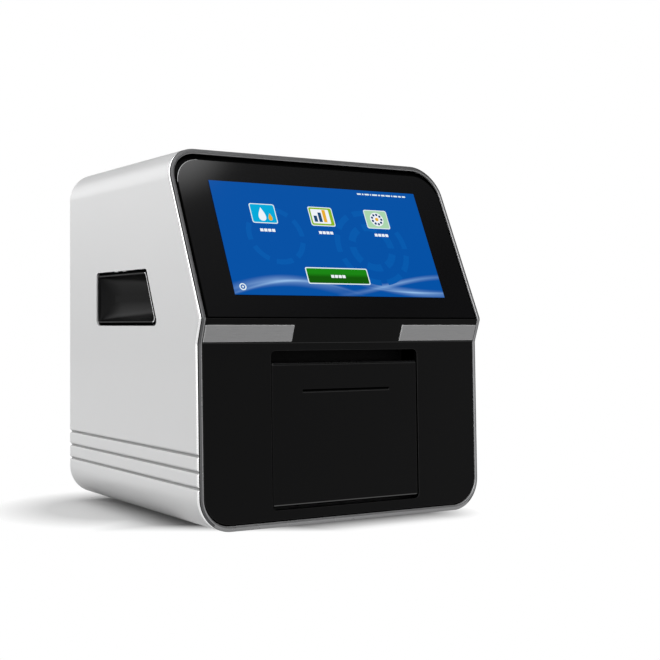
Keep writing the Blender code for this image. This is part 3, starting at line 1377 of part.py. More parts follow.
def build_inlet():
    """The power inlet with its three pins, and the rocker switch above it in the same moulding."""
    out = REAR_PANEL_OUT_Y + TOUCH_GAP
    flange_out = out + INLET_FLANGE_THICKNESS
    half_width = INLET_FLANGE_WIDTH / 2
    half_height = INLET_FLANGE_HEIGHT / 2
    inlet = block(
        "power_inlet", (INLET_X - half_width, INLET_X + half_width), (out, flange_out),
        (INLET_Z - half_height, INLET_Z + half_height), DARK_PLASTIC,
    )
    body_width, body_height = inlet_body_half()
    body = block(
        "inlet_body", (INLET_X - body_width, INLET_X + body_width),
        (REAR_PANEL_IN_Y - INLET_BODY_DEPTH, out + INLET_FLANGE_THICKNESS / 2),
        (INLET_Z - body_height, INLET_Z + body_height),
    )
    fuse(inlet, body)
    socket_z = INLET_Z - INLET_SOCKET_DROP
    corners = rectangle(
        INLET_X - INLET_SOCKET_WIDTH / 2, INLET_X + INLET_SOCKET_WIDTH / 2,
        socket_z - INLET_SOCKET_HEIGHT / 2, socket_z + INLET_SOCKET_HEIGHT / 2,
    )
    outline = rounded(corners, (0, 0, INLET_SOCKET_CHAMFER, INLET_SOCKET_CHAMFER), 1)
    floor = flange_out - INLET_SOCKET_DEPTH
    cut(inlet, prism("inlet_socket", outline, floor, flange_out + CUT_OVERRUN, "XZ"))
    for number, (x, z) in enumerate(
        [(-INLET_PIN_SPACING, 0), (0, INLET_EARTH_RISE), (INLET_PIN_SPACING, 0)]
    ):
        pin = block(
            f"inlet_pin_{number}",
            (INLET_X + x - INLET_PIN_WIDTH / 2, INLET_X + x + INLET_PIN_WIDTH / 2),
            (floor - CUT_OVERRUN, floor + INLET_PIN_LENGTH),
            (socket_z + z - INLET_PIN_HEIGHT / 2, socket_z + z + INLET_PIN_HEIGHT / 2),
        )
        fuse(inlet, pin)
    switch_z = INLET_Z + SWITCH_LIFT
    well = block(
        "switch_well",
        (INLET_X - SWITCH_WIDTH / 2 - SWITCH_CLEARANCE, INLET_X + SWITCH_WIDTH / 2 + SWITCH_CLEARANCE),
        (flange_out - SWITCH_WELL_DEPTH, flange_out + CUT_OVERRUN),
        (switch_z - SWITCH_HEIGHT / 2 - SWITCH_CLEARANCE, switch_z + SWITCH_HEIGHT / 2 + SWITCH_CLEARANCE),
    )
    cut(inlet, well)
    build_switch(flange_out, switch_z)


def build_switch(flange_out, switch_z):
    """The rocker, with its left side pressed in: a shallow V in plan that tips about an upright pin."""
    half = SWITCH_WIDTH / 2
    rise = half * math.tan(SWITCH_TILT)
    deep = SWITCH_BODY_DEPTH
    narrow = half - SWITCH_SIDE_TAPER
    plan = [(-half, 0), (0, -rise), (half, 0), (narrow, -deep), (-narrow, -deep)]
    pivot = Vector((INLET_X, flange_out - SWITCH_SINK - deep / 2))
    tipped = []
    for x, y in plan:
        spot = Vector((x, y + deep / 2 - rise / 2))
        spot.rotate(Matrix.Rotation(SWITCH_TILT, 2))
        tipped.append(tuple(pivot + spot))
    heights = (switch_z - SWITCH_HEIGHT / 2, switch_z + SWITCH_HEIGHT / 2)
    rocker = prism("power_switch", tipped, *heights, "XY", DARK_PLASTIC)
    carry(add_axis("switch_axis", (pivot.x, pivot.y, switch_z)), [rocker])


def port_places():
    """Name, x, z, width, height and depth of each data socket."""
    z = BASE_Z + PORT_RISE
    return [
        ("network_port", PORT_SIDE_PLACE, z, NETWORK_WIDTH, NETWORK_HEIGHT, NETWORK_DEPTH),
        ("usb_port_right", PORT_SIDE_PLACE - PORT_PITCH, z, USB_WIDTH, USB_HEIGHT, USB_DEPTH),
        ("usb_port_left", PORT_SIDE_PLACE - 2 * PORT_PITCH, z, USB_WIDTH, USB_HEIGHT, USB_DEPTH),
    ]


def build_ports():
    """Metal socket shells in the rear panel, and the small board that carries them."""
    deepest = REAR_PANEL_OUT_Y
    for name, x, z, width, height, depth in port_places():
        front = REAR_PANEL_OUT_Y - depth
        deepest = min(deepest, front)
        port = block(
            name, (x - width / 2, x + width / 2), (front, REAR_PANEL_OUT_Y + PORT_PROUD),
            (z - height / 2, z + height / 2), STEEL,
        )
        hollow = block(
            name + "_hollow",
            (x - width / 2 + PORT_WALL, x + width / 2 - PORT_WALL),
            (front + PORT_WALL, REAR_PANEL_OUT_Y + CUT_OVERRUN),
            (z - height / 2 + PORT_WALL, z + height / 2 - PORT_WALL),
        )
        cut(port, hollow)
        if name.startswith("usb"):
            tongue = block(
                name + "_tongue",
                (x - width / 2 + 2 * PORT_WALL, x + width / 2 - 2 * PORT_WALL),
                (front + PORT_WALL / 2, REAR_PANEL_OUT_Y - PORT_WALL),
                (z - USB_TONGUE / 2, z + USB_TONGUE / 2),
            )
            fuse(port, tongue)
    board_back = deepest - TOUCH_GAP
    middle = PORT_SIDE_PLACE - PORT_PITCH
    block(
        "port_board",
        (middle - PORT_BOARD_WIDTH / 2, middle + PORT_BOARD_WIDTH / 2),
        (board_back - BOARD_THICKNESS, board_back),
        (BASE_Z + PORT_RISE - PORT_BOARD_HEIGHT / 2, BASE_Z + PORT_RISE + PORT_BOARD_HEIGHT / 2),
        BOARD_GREEN,
    )


def build_speaker():
    """A small loudspeaker behind its own vents, with its cone towards the panel."""
    back = REAR_PANEL_IN_Y - TOUCH_GAP
    centre = (SPEAKER_X, FAN_Z)
    speaker = drum("loudspeaker", centre, SPEAKER_RADIUS, back - SPEAKER_DEPTH, back, "Y", DARK_PLASTIC)
    mouth = SPEAKER_RADIUS - SPEAKER_RIM
    slope = (mouth - SPEAKER_RADIUS * SPEAKER_CONE_SHARE) / SPEAKER_CONE_DEPTH
    cone = drum(
        "speaker_cone", centre, SPEAKER_RADIUS * SPEAKER_CONE_SHARE, back - SPEAKER_CONE_DEPTH,
        back + CUT_OVERRUN, "Y", end_radius=mouth + slope * CUT_OVERRUN,
    )
    cut(speaker, cone)


build_shell()
build_feet()
build_trim()
build_fascia()
build_display()
build_handles()
build_drawer()
build_drawer_drive()
build_base()
build_optics()
build_power_supply()
build_rear_panel()
build_fan()
build_inlet()
build_ports()
build_speaker()
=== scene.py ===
import math

import bmesh
import bpy
from mathutils import Matrix, Vector


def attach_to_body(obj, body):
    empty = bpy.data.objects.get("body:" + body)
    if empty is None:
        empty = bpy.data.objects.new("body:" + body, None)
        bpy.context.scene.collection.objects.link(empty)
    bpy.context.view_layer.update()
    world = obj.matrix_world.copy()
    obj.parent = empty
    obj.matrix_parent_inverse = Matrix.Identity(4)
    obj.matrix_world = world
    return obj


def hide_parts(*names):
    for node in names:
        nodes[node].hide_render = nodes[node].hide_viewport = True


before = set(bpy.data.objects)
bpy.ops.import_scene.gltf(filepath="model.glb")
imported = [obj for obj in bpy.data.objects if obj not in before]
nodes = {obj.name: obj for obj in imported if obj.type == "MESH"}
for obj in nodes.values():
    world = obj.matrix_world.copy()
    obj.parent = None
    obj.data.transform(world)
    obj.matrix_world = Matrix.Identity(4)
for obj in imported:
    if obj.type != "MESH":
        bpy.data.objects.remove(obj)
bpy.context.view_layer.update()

# The cover: one moulding in silver-white painted plastic, wrapped round both sides, the top and the floor.
# Three shallow grooves run along each side and a hand-hold is let into each. Its front edge is rounded
# where it meets the grey ring, and the rear panel sits inside its rear edge.
BODY_HALF_WIDTH = 0.1000
BODY_LOW = 0.0050
BODY_TOP = 0.2291
BODY_MIDDLE = (BODY_LOW + BODY_TOP) / 2
BODY_REAR = 0.1040
BODY_CORNER = 0.0200
CORNER_STEPS = 18
# The front seen from the side, in Y and Z: its foot, the two kinks and its head
FACE_LINE = ((-0.1018, BODY_LOW), (-0.0988, 0.1125), (-0.1040, 0.1268), (-0.0533, BODY_TOP))
KINK_SOFTNESS = 0.0010
TOUCH_GAP = 0.0003
RING_DEPTH = 0.0018
COVER_WALL = 0.0025
COVER_LIP_INSET = 0.0010
COVER_LIP_REACH = 0.0024
COVER_LIP_STEPS = 6
COVER_REAR_LIP = 0.0007
COVER_CUT_EDGE = 0.0004
GROOVE_HEIGHTS = (0.0306, 0.03985, 0.0491)
GROOVE_WIDTH = 0.0030
GROOVE_DEPTH = 0.0015
GROOVE_FOOT_SHARE = 0.3
GROOVE_STEPS = 12
SHADING_WEIGHT = 100


def face_y(height):
    """Where the kinked front lies at a height. The kinks are small bends."""
    for (near_y, near_z), (far_y, far_z) in zip(FACE_LINE, FACE_LINE[1:]):
        if height <= far_z:
            break
    place = near_y + (far_y - near_y) * (height - near_z) / (far_z - near_z)
    for index in (1, 2):
        kink_y, kink_z = FACE_LINE[index]
        away = height - kink_z
        if abs(away) < KINK_SOFTNESS:
            below = (kink_y - FACE_LINE[index - 1][0]) / (kink_z - FACE_LINE[index - 1][1])
            above = (FACE_LINE[index + 1][0] - kink_y) / (FACE_LINE[index + 1][1] - kink_z)
            bend = (above - below) * (away ** 2 + KINK_SOFTNESS ** 2) / (4 * KINK_SOFTNESS)
            place = kink_y + (above + below) / 2 * away + bend
    return place


def kink_heights():
    """Heights on the sides at which a piece that follows the front needs points."""
    shares = (-1, -0.5, 0, 0.5, 1)
    return [z + share * KINK_SOFTNESS for _, z in FACE_LINE[1:3] for share in shares]


def outline_stations(side_heights):
    """Points round the body seen from the front, each with the direction out of it."""
    stations = []
    across = BODY_HALF_WIDTH - BODY_CORNER
    low = BODY_LOW + BODY_CORNER
    high = BODY_TOP - BODY_CORNER
    heights = sorted(z for z in side_heights if low < z < high)
    sides = {1: heights, 3: reversed(heights)}
    corners = [(across, low), (across, high), (-across, high), (-across, low)]
    for quarter, centre in enumerate(corners):
        for z in sides.get(quarter, ()):
            way = 2 - quarter
            stations.append((Vector((way * BODY_HALF_WIDTH, z)), Vector((way, 0))))
        for step in range(CORNER_STEPS + 1):
            turn = math.pi / 2 * (quarter - 1 + step / CORNER_STEPS)
            out = Vector((math.cos(turn), math.sin(turn)))
            stations.append((Vector(centre) + out * BODY_CORNER, out))
    return stations


def groove_depth(height):
    """How deep the side is grooved at a height: soft edges, a steep foot and a long upper wall."""
    middle = min(GROOVE_HEIGHTS, key=lambda place: abs(height - place))
    rise = 0.5 + (height - middle) / GROOVE_WIDTH
    share = max(0.0, min(rise / GROOVE_FOOT_SHARE, (1 - rise) / (1 - GROOVE_FOOT_SHARE)))
    return GROOVE_DEPTH * math.sin(min(1.0, share) * math.pi / 2) ** 2


def add_object(name, data):
    """An object in the scene, at the origin and unturned."""
    made = bpy.data.objects.new(name, data)
    bpy.context.scene.collection.objects.link(made)
    return made


def mesh_of(name, form):
    """The mesh of a bmesh, which is used up."""
    mesh = bpy.data.meshes.new(name)
    form.to_mesh(mesh)
    form.free()
    return mesh


def smooth_object(name, form):
    made = add_object(name, mesh_of(name, form))
    made.data.shade_smooth()
    return made


def mesh_object(name, form):
    """An object from a bmesh, with its faces turned outwards and shaded smooth."""
    bmesh.ops.recalc_face_normals(form, faces=form.faces)
    return smooth_object(name, form)


def add_loops(form, rows):
    """Points of a bmesh at rows of places."""
    return [[form.verts.new(place) for place in row] for row in rows]


def join_loops(form, here, there):
    """Faces between two closed loops of points."""
    for step in range(len(here)):
        after = (step + 1) % len(here)
        form.faces.new((here[step], there[step], there[after], here[after]))


def swept_ring(name, rows):
    """A ring from rows of points, each a closed section, joined one to the next and round to the first."""
    form = bmesh.new()
    loops = add_loops(form, rows)
    for here, there in zip(loops, loops[1:] + loops[:1]):
        join_loops(form, here, there)
    return mesh_object(name, form)


def settle(piece):
    """Puts a piece's modifiers into its mesh."""
    bpy.context.view_layer.update()
    graph = bpy.context.evaluated_depsgraph_get()
    mesh = bpy.data.meshes.new_from_object(piece.evaluated_get(graph))
    piece.modifiers.clear()
    piece.data = mesh
    return piece


def shade_evenly(piece):
    """Weighs the shading by the size of the faces, so that flat ones look flat."""
    weigh = piece.modifiers.new("even_shading", "WEIGHTED_NORMAL")
    weigh.weight = SHADING_WEIGHT


def soften(piece, width, segments=3, angle=18, edge_slot=-1):
    """Rounds the edges that turn by more than an angle, and keeps the flat faces flat."""
    bevel = piece.modifiers.new("rounded_edges", "BEVEL")
    bevel.width = width
    bevel.segments = segments
    bevel.limit_method = "ANGLE"
    bevel.angle_limit = math.radians(angle)
    bevel.use_clamp_overlap = True
    bevel.harden_normals = False
    bevel.material = edge_slot
    shade_evenly(piece)
    return piece


def carve(piece, cutter):
    """Cuts a closed shape out of a piece and removes the cutter."""
    cutting = piece.modifiers.new("cut", "BOOLEAN")
    cutting.operation = "DIFFERENCE"
    cutting.solver = "EXACT"
    cutting.object = cutter
    settle(piece)
    bpy.data.objects.remove(cutter, do_unlink=True)
    return piece


def offset_corners(corners, distance):
    """Corners of a convex outline that runs anticlockwise, moved outwards."""
    spots = [Vector(corner) for corner in corners]
    moved = []
    for index, spot in enumerate(spots):
        arrive = (spot - spots[index - 1]).normalized()
        leave = (spots[(index + 1) % len(spots)] - spot).normalized()
        outs = [Vector((way.y, -way.x)) for way in (arrive, leave)]
        moved.append(spot + (outs[0] + outs[1]) * distance / (1 + outs[0].dot(outs[1])))
    return moved


def rounded(corners, radius, steps):
    """Outline points with each corner turned into an arc."""
    spots = [Vector(corner) for corner in corners]
    points = []
    for index, spot in enumerate(spots):
        before = (spots[index - 1] - spot).normalized()
        after = (spots[(index + 1) % len(spots)] - spot).normalized()
        half = before.angle(after) / 2
        centre = spot + (before + after).normalized() * radius / math.sin(half)
        start = spot + before * radius / math.tan(half) - centre
        finish = spot + after * radius / math.tan(half) - centre
        sweep = math.atan2(start.x * finish.y - start.y * finish.x, start.dot(finish))
        for step in range(steps + 1):
            turned = start.copy()
            turned.rotate(Matrix.Rotation(sweep * step / steps, 2))
            points.append(centre + turned)
    return points


def slab(name, outline, place, low, high):
    """A flat outline given thickness. The place turns its points and a level into points in space."""
    form = bmesh.new()
    layers = add_loops(form, [[place(u, v, level) for u, v in outline] for level in (low, high)])
    for layer in layers:
        form.faces.new(layer)
    join_loops(form, *layers)
    return mesh_object(name, form)


def across_x(y, z, x):
    return (x, y, z)


# The hand-hold seen from the side, in Y and Z: front and rear of its foot, then rear and front of its head
HOLD_CORNERS = ((-0.0440, 0.1228), (0.0532, 0.1228), (0.0532, 0.1572), (-0.0276, 0.1572))
HOLD_CORNER_RADIUS = 0.0030
HOLD_CORNER_LEAST = 0.0012
HOLD_CORNER_SHARE = 0.4
HOLD_CORNER_STEPS = 6
HOLD_CUT_REACH = 0.0100


def hold_outline(distance):
    """The hand-hold's outline in Y and Z, a trapezoid whose front end slants, moved outwards."""
    radius = max(HOLD_CORNER_RADIUS + distance * HOLD_CORNER_SHARE, HOLD_CORNER_LEAST)
    return rounded(offset_corners(HOLD_CORNERS, distance), radius, HOLD_CORNER_STEPS)


def cover_section(station):
    """The cover's wall at one station: inner face, rounded front lip, outer face and rear lip."""
    spot, out = station
    sink = groove_depth(spot.y) if abs(out.x) == 1 else 0.0

    def near_front(inset, back):
        flat = spot - out * inset
        return (flat.x, face_y(flat.y) + RING_DEPTH + TOUCH_GAP + back, flat.y)

    def near_rear(inset, short):
        flat = spot - out * inset
        return (flat.x, BODY_REAR - short, flat.y)

    section = [near_rear(COVER_WALL, 0.0), near_front(COVER_WALL, 0.0)]
    for step in range(COVER_LIP_STEPS + 1):
        turn = math.pi / 2 * step / COVER_LIP_STEPS
        inset = sink + COVER_LIP_INSET * (1 - math.sin(turn))
        section.append(near_front(inset, COVER_LIP_REACH * (1 - math.cos(turn))))
    return section + [near_rear(sink, COVER_REAR_LIP), near_rear(sink + COVER_REAR_LIP, 0.0)]


groove_lines = [
    middle + GROOVE_WIDTH * (step / GROOVE_STEPS - 0.5)
    for middle in GROOVE_HEIGHTS
    for step in range(GROOVE_STEPS + 1)
]
cover_stations = outline_stations(kink_heights() + groove_lines)
cover = swept_ring("cover", [cover_section(station) for station in cover_stations])
for side in (-1, 1):
    inside = side * (BODY_HALF_WIDTH - 2 * COVER_WALL)
    outside = side * (BODY_HALF_WIDTH + HOLD_CUT_REACH)
    carve(cover, slab("hold_cut", hold_outline(TOUCH_GAP), across_x, inside, outside))
soften(cover, COVER_CUT_EDGE, segments=2, angle=60)
# Fine detail of the finishes: the ripple under their grain, the patches of dust and the brushed scratches
RIPPLE_SHARE = 0.12
DUST_SCALE = 60.0
BRUSH_STRETCH = (1.0, 60.0, 60.0)
COAT_ROUGHNESS = 0.08


def new_tree(name, kind, inputs, outputs):
    """An empty node tree with named sockets, and the sockets of its two end nodes."""
    tree = bpy.data.node_groups.new(name, kind)
    for direction, sockets in (("INPUT", inputs), ("OUTPUT", outputs)):
        for label, value_kind, *value in sockets:
            socket_type = "NodeSocket" + value_kind
            socket = tree.interface.new_socket(label, in_out=direction, socket_type=socket_type)
            if value:
                socket.default_value = value[0]
    return tree, tree.nodes.new("NodeGroupInput").outputs, tree.nodes.new("NodeGroupOutput").inputs


def effect_group(name, inputs, outputs):
    return new_tree(name, "ShaderNodeTree", inputs, outputs)


def fill(tree, node, **values):
    """Sets or links a node's inputs by name. A list links several sockets to one input."""
    for label, value in values.items():
        socket = node.inputs[label.replace("_", " ")]
        for source in value if isinstance(value, list) else [value]:
            if isinstance(source, bpy.types.NodeSocket):
                tree.links.new(source, socket)
            else:
                socket.default_value = source


def maths(tree, operation, first, second=None, clamp=False):
    """A Math node. Each value is a number or a socket."""
    node = tree.nodes.new("ShaderNodeMath")
    node.operation = operation
    node.use_clamp = clamp
    for index, value in enumerate((first, second)):
        if isinstance(value, (int, float)):
            node.inputs[index].default_value = value
        elif value is not None:
            tree.links.new(value, node.inputs[index])
    return node.outputs[0]


def vector_maths(tree, operation, first, second=None):
    """A Vector Math node. Each value is a vector or a socket."""
    node = tree.nodes.new("ShaderNodeVectorMath")
    node.operation = operation
    for index, value in enumerate((first, second)):
        if isinstance(value, bpy.types.NodeSocket):
            tree.links.new(value, node.inputs[index])
        elif value is not None:
            node.inputs[index].default_value = value
    return node.outputs["Value" if operation in ("DISTANCE", "LENGTH", "DOT_PRODUCT") else "Vector"]


def coordinates(tree, kind):
    return tree.nodes.new("ShaderNodeTexCoord").outputs[kind]


def parts_of(tree, vector):
    """The X, Y and Z of a vector."""
    split = tree.nodes.new("ShaderNodeSeparateXYZ")
    tree.links.new(vector, split.inputs[0])
    return split.outputs


def blend_colours(tree, share, first, second):
    """A colour Mix node. Each value is a colour or a socket."""
    node = tree.nodes.new("ShaderNodeMix")
    node.data_type = "RGBA"
    for index, value in ((0, share), (6, first), (7, second)):
        if isinstance(value, bpy.types.NodeSocket):
            tree.links.new(value, node.inputs[index])
        elif index:
            node.inputs[index].default_value = (*value, 1.0)
        else:
            node.inputs[index].default_value = value
    return node.outputs[2]


def noise(tree, scale, detail=2.0, stretch=None):
    """A Noise node on the piece's own coordinates, with its pattern stretched if asked."""
    spots = coordinates(tree, "Object")
    if stretch:
        mapping = tree.nodes.new("ShaderNodeMapping")
        fill(tree, mapping, Scale=stretch, Vector=spots)
        spots = mapping.outputs["Vector"]
    node = tree.nodes.new("ShaderNodeTexNoise")
    fill(tree, node, Detail=detail, Vector=spots, Scale=scale)
    return node.outputs["Fac"]


def surface_grain_group():
    """Fine grain of a moulded or painted surface, with a slower ripple under it."""
    group, enter, leave = effect_group(
        "surface_grain", [("Grain Scale", "Float", 4000.0), ("Ripple", "Float", 0.4)], [("Height", "Float")]
    )
    grain = noise(group, enter["Grain Scale"])
    ripple = noise(group, maths(group, "MULTIPLY", enter["Grain Scale"], RIPPLE_SHARE), detail=1.0)
    slow = maths(group, "MULTIPLY", ripple, enter["Ripple"])
    group.links.new(maths(group, "ADD", grain, slow), leave["Height"])
    return group


def handled_gloss_group():
    """Roughness that drifts a little over a surface, as hands and cloths leave it."""
    group, enter, leave = effect_group(
        "handled_gloss",
        [("Roughness", "Float", 0.4), ("Spread", "Float", 0.1), ("Scale", "Float", 25.0)],
        [("Roughness", "Float")],
    )
    drift = maths(group, "SUBTRACT", noise(group, enter["Scale"], detail=5.0), 0.5)
    swing = maths(group, "MULTIPLY", drift, enter["Spread"])
    total = maths(group, "ADD", enter["Roughness"], swing, clamp=True)
    group.links.new(total, leave["Roughness"])
    return group


def settled_dust_group():
    """A thin film of dust on what faces up, patchy, over any colour."""
    sockets = [
        ("Color", "Color", (0.5, 0.5, 0.5, 1)), ("Dust", "Color", (0.55, 0.54, 0.52, 1)),
        ("Amount", "Float", 0.1),
    ]
    group, enter, leave = effect_group("settled_dust", sockets, [("Color", "Color")])
    normal = group.nodes.new("ShaderNodeNewGeometry").outputs["Normal"]
    raised = maths(group, "SUBTRACT", parts_of(group, normal)["Z"], 0.5)
    upward = maths(group, "MULTIPLY", raised, 2.0, clamp=True)
    patchy = maths(group, "MULTIPLY", noise(group, DUST_SCALE, detail=6.0), upward)
    share = maths(group, "MULTIPLY", patchy, enter["Amount"])
    mixed = blend_colours(group, share, enter["Color"], enter["Dust"])
    group.links.new(mixed, leave["Color"])
    return group


def brushed_lines_group():
    """Long fine scratches along X, as on brushed or drawn metal."""
    group, enter, leave = effect_group("brushed_lines", [("Scale", "Float", 60.0)], [("Lines", "Float")])
    fine = noise(group, enter["Scale"], detail=3.0, stretch=BRUSH_STRETCH)
    group.links.new(fine, leave["Lines"])
    return group


SURFACE_GRAIN = surface_grain_group()
HANDLED_GLOSS = handled_gloss_group()
SETTLED_DUST = settled_dust_group()
BRUSHED_LINES = brushed_lines_group()


def place_group(tree, group, **values):
    """A group node in a tree, with its inputs set. Sockets that the call leaves out keep their defaults."""
    node = tree.nodes.new("ShaderNodeGroup")
    node.node_tree = group
    fill(tree, node, **values)
    return node


def new_material(name):
    made = bpy.data.materials.new(name)
    made.use_nodes = True
    return made


def shader_of(material):
    return material.node_tree.nodes["Principled BSDF"]


def add_finish(
    name, colour, roughness, metallic=0.0, specular=0.5, coat=0.0, spread=0.08,
    grain_scale=4000.0, grain_depth=0.000004, dust=0.08, brushed=0.0,
):
    """A material with grain, drifting gloss and a little dust. Brushed gives the depth of its scratches."""
    made = new_material(name)
    tree = made.node_tree
    dusty = place_group(tree, SETTLED_DUST, Color=(*colour, 1.0), Amount=dust)
    gloss = place_group(tree, HANDLED_GLOSS, Roughness=roughness, Spread=spread).outputs["Roughness"]
    if brushed:
        height = place_group(tree, BRUSHED_LINES).outputs["Lines"]
        streaked = maths(tree, "MULTIPLY", maths(tree, "SUBTRACT", height, 0.5), 0.5)
        gloss = maths(tree, "ADD", streaked, gloss, clamp=True)
    else:
        height = place_group(tree, SURFACE_GRAIN, Grain_Scale=grain_scale).outputs["Height"]
    bump = tree.nodes.new("ShaderNodeBump")
    fill(tree, bump, Distance=brushed or grain_depth, Height=height)
    fill(
        tree, shader_of(made), Base_Color=dusty.outputs["Color"], Metallic=metallic, Roughness=gloss,
        Specular_IOR_Level=specular, Coat_Weight=coat, Coat_Roughness=COAT_ROUGHNESS,
        Normal=bump.outputs["Normal"],
    )
    return made


def attach(piece, slot_name, body, *replaced):
    """Gives a piece that has its finishes its body and the nodes that it stands for."""
    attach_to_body(piece, body)
    if replaced:
        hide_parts(*replaced)
    return piece


def dress(piece, finishes, slot_name, body, *replaced):
    """Gives a piece its finish or finishes, its body and the nodes that it stands for."""
    piece.data.materials.clear()
    for finish in finishes if isinstance(finishes, tuple) else (finishes,):
        piece.data.materials.append(finish)
    return attach(piece, slot_name, body, *replaced)


def repaint(piece, index, chosen):
    """Gives the faces that a test picks by centre and normal another of the piece's finishes."""
    for face in piece.data.polygons:
        if chosen(face.center, face.normal):
            face.material_index = index


PAINT_GRAIN = dict(grain_scale=2600.0, grain_depth=0.000006, dust=0.03)
LIP_HIGHLIGHT_GRAIN = dict(grain_scale=2600.0, grain_depth=0.000003, dust=0.0)
silver_paint = add_finish(
    "silver_paint", (0.755, 0.757, 0.76), 0.36, metallic=0.15, coat=0.25, **PAINT_GRAIN
)
# A near-white metal copy of the paint for the rounded front lip: a painted highlight along the edge by the
# ring
polished_lip = add_finish(
    "polished_lip", (0.98, 0.98, 0.985), 0.18, metallic=0.85, coat=0.6, **LIP_HIGHLIGHT_GRAIN
)
# Painted shade: a darker grey copy of the paint for the floors of the side grooves
groove_grey = add_finish("groove_grey", (0.36, 0.36, 0.362), 0.45, **PAINT_GRAIN)
# Painted shade: a dull near-black without shine, put on the walls of gaps, seams, slits and openings
seam_black = add_finish("seam_black", (0.0022, 0.0022, 0.0022), 0.7, specular=0.0, dust=0.0)
cover_finishes = (silver_paint, polished_lip, groove_grey, seam_black)
dress(cover, cover_finishes, "silver_paint", "housing", "housing_shell")
# How a face of the lip points forward, how far in the side's skin reaches, the part of a groove's depth from
# which its painted shade grey shows, and how a face inside the cover points to the middle. The lip takes the
# painted highlight, the grooves the painted shade, and the inside faces the black of bare plastic in shade.
LIP_FACING = -0.25
SIDE_SKIN = 0.0020
GROOVE_SHADE_SHARE = 0.4
INWARD = -0.06


def on_lip(spot, way):
    return spot.y < face_y(spot.z) + RING_DEPTH + COVER_LIP_REACH and way.y < LIP_FACING


def in_groove(spot, way):
    deep = groove_depth(spot.z) > GROOVE_SHADE_SHARE * GROOVE_DEPTH
    return deep and abs(spot.x) > BODY_HALF_WIDTH - SIDE_SKIN


def faces_in(spot, way):
    return way.x * spot.x + way.z * (spot.z - BODY_MIDDLE) < INWARD


for index, chosen in enumerate((on_lip, in_groove, faces_in), start=1):
    repaint(cover, index, chosen)

# The grey ring: a satin metal frame round the whole front, between the cover and the black face.
# It rises in two flat facets to a ridge and follows the kinks. Its side walls are painted black as the shade
# of the seams on both sides of it.
# How far each point of the section lies inside the body at the sides and at the ends, and behind the front
RING_SECTION = (
    (0.00090, 0.0, RING_DEPTH), (0.00090, 0.0, 0.00075), (0.00096, 0.00006, 0.00052),
    (0.00110, 0.00020, 0.00036), (0.00188, 0.00150, 0.00003), (0.00195, 0.00160, 0.0),
    (0.00202, 0.00170, 0.00001), (0.00270, 0.00280, 0.00016), (0.00290, 0.00306, 0.00036),
    (0.00300, 0.00320, 0.00070), (0.00300, 0.00320, 0.00140), (0.00302, 0.00370, 0.00145),
    (0.00302, 0.00370, RING_DEPTH),
)
RING_RIDGE = 0.00195
RING_FOOT = 0.0095
RING_FOOT_STEP = 3
RING_SHADED_STEPS = 3


def ring_section(station):
    spot, out = station
    section = []
    for side_inset, end_inset, back in RING_SECTION:
        x = spot.x - out.x * side_inset
        z = spot.y - out.y * end_inset
        section.append((x, face_y(z) + back, z))
    return section


ring_rows = [ring_section(station) for station in outline_stations(kink_heights())]
front_ring = swept_ring("front_ring", ring_rows)
# Lit and shaded copies of one metal: the outer facet is painted darker as shade, the ridge and inner facet
# lighter as a painted highlight. Below RING_FOOT the lighter copy reaches over the outer facet too, as
# painted light from the table.
RING_WEAR = dict(spread=0.1, dust=0.03)
ring_shaded = add_finish("ring_outer_metal", (0.105, 0.105, 0.108), 0.38, metallic=0.55, **RING_WEAR)
ring_lit = add_finish("ring_inner_metal", (0.33, 0.33, 0.335), 0.28, metallic=0.6, **RING_WEAR)
dress(front_ring, (ring_shaded, ring_lit, seam_black), "grey_metal", "housing", "front_trim")
ring_steps = len(RING_SECTION)
ridge_step = [side_inset for side_inset, _, _ in RING_SECTION].index(RING_RIDGE)
for face in front_ring.data.polygons:
    step = face.index % ring_steps
    bright_step = RING_FOOT_STEP if face.center.z < RING_FOOT else ridge_step
    in_shaded_seam = step == 0 or step >= ring_steps - RING_SHADED_STEPS
    face.material_index = 2 if in_shaded_seam else int(step >= bright_step)

# The front moulding: satin black plastic behind the glass, down over the slanted band and the lower face.
# The drawer's opening is cut in it with a small rounded edge.
COPY_FLATNESS = math.radians(1)
FINE_WELD = 0.000002
# Edge radii, from boards and sheet to moulded blocks
BOARD_EDGE = 0.0002
SHEET_EDGE = 0.0003
CLIP_EDGE = 0.0004
STRIP_EDGE = 0.0005
CASE_EDGE = 0.0006
BLOCK_EDGE = 0.0008


def copied_form(name, node):
    """A merged copy of a CAD node's mesh, with its flat faces joined."""
    form = bmesh.new()
    form.from_mesh(nodes[node].data)
    bmesh.ops.remove_doubles(form, verts=form.verts, dist=FINE_WELD)
    bmesh.ops.dissolve_limit(
        form, angle_limit=COPY_FLATNESS, verts=form.verts, edges=form.edges, use_dissolve_boundaries=False
    )
    return smooth_object(name, form)


def finished_copy(name, node, finishes, slot_name, body, edge, segments=3, edge_slot=-1):
    """A CAD node's shape with rounded edges, which stands for it."""
    made = copied_form(name, node)
    soften(made, edge, segments, edge_slot=edge_slot)
    return dress(made, finishes, slot_name, body, node)


MOULDED_BLACK = (0.0024, 0.0024, 0.0026)
MOULDED_GRAIN = 5200.0
satin_black = add_finish(
    "satin_black", MOULDED_BLACK, 0.34, specular=0.09, spread=0.12, grain_scale=MOULDED_GRAIN, dust=0.004
)
black_edge = add_finish(
    "black_edge", MOULDED_BLACK, 0.28, specular=0.42, grain_scale=MOULDED_GRAIN, grain_depth=0.000002,
    dust=0.0,
)
moulding_finishes = (satin_black, black_edge, seam_black)
moulding = finished_copy(
    "front_moulding", "front_fascia", moulding_finishes, "satin_black", "housing", STRIP_EDGE, edge_slot=1
)
OPENING_HALF_WIDTH = 0.0535
OPENING_TOP = FACE_LINE[1][1]
OPENING_FACING = -0.4


def in_opening(spot, way):
    return way.y > OPENING_FACING and abs(spot.x) < OPENING_HALF_WIDTH and spot.z < OPENING_TOP


# The walls inside the drawer's opening are painted black as the shade in it
repaint(moulding, 2, in_opening)
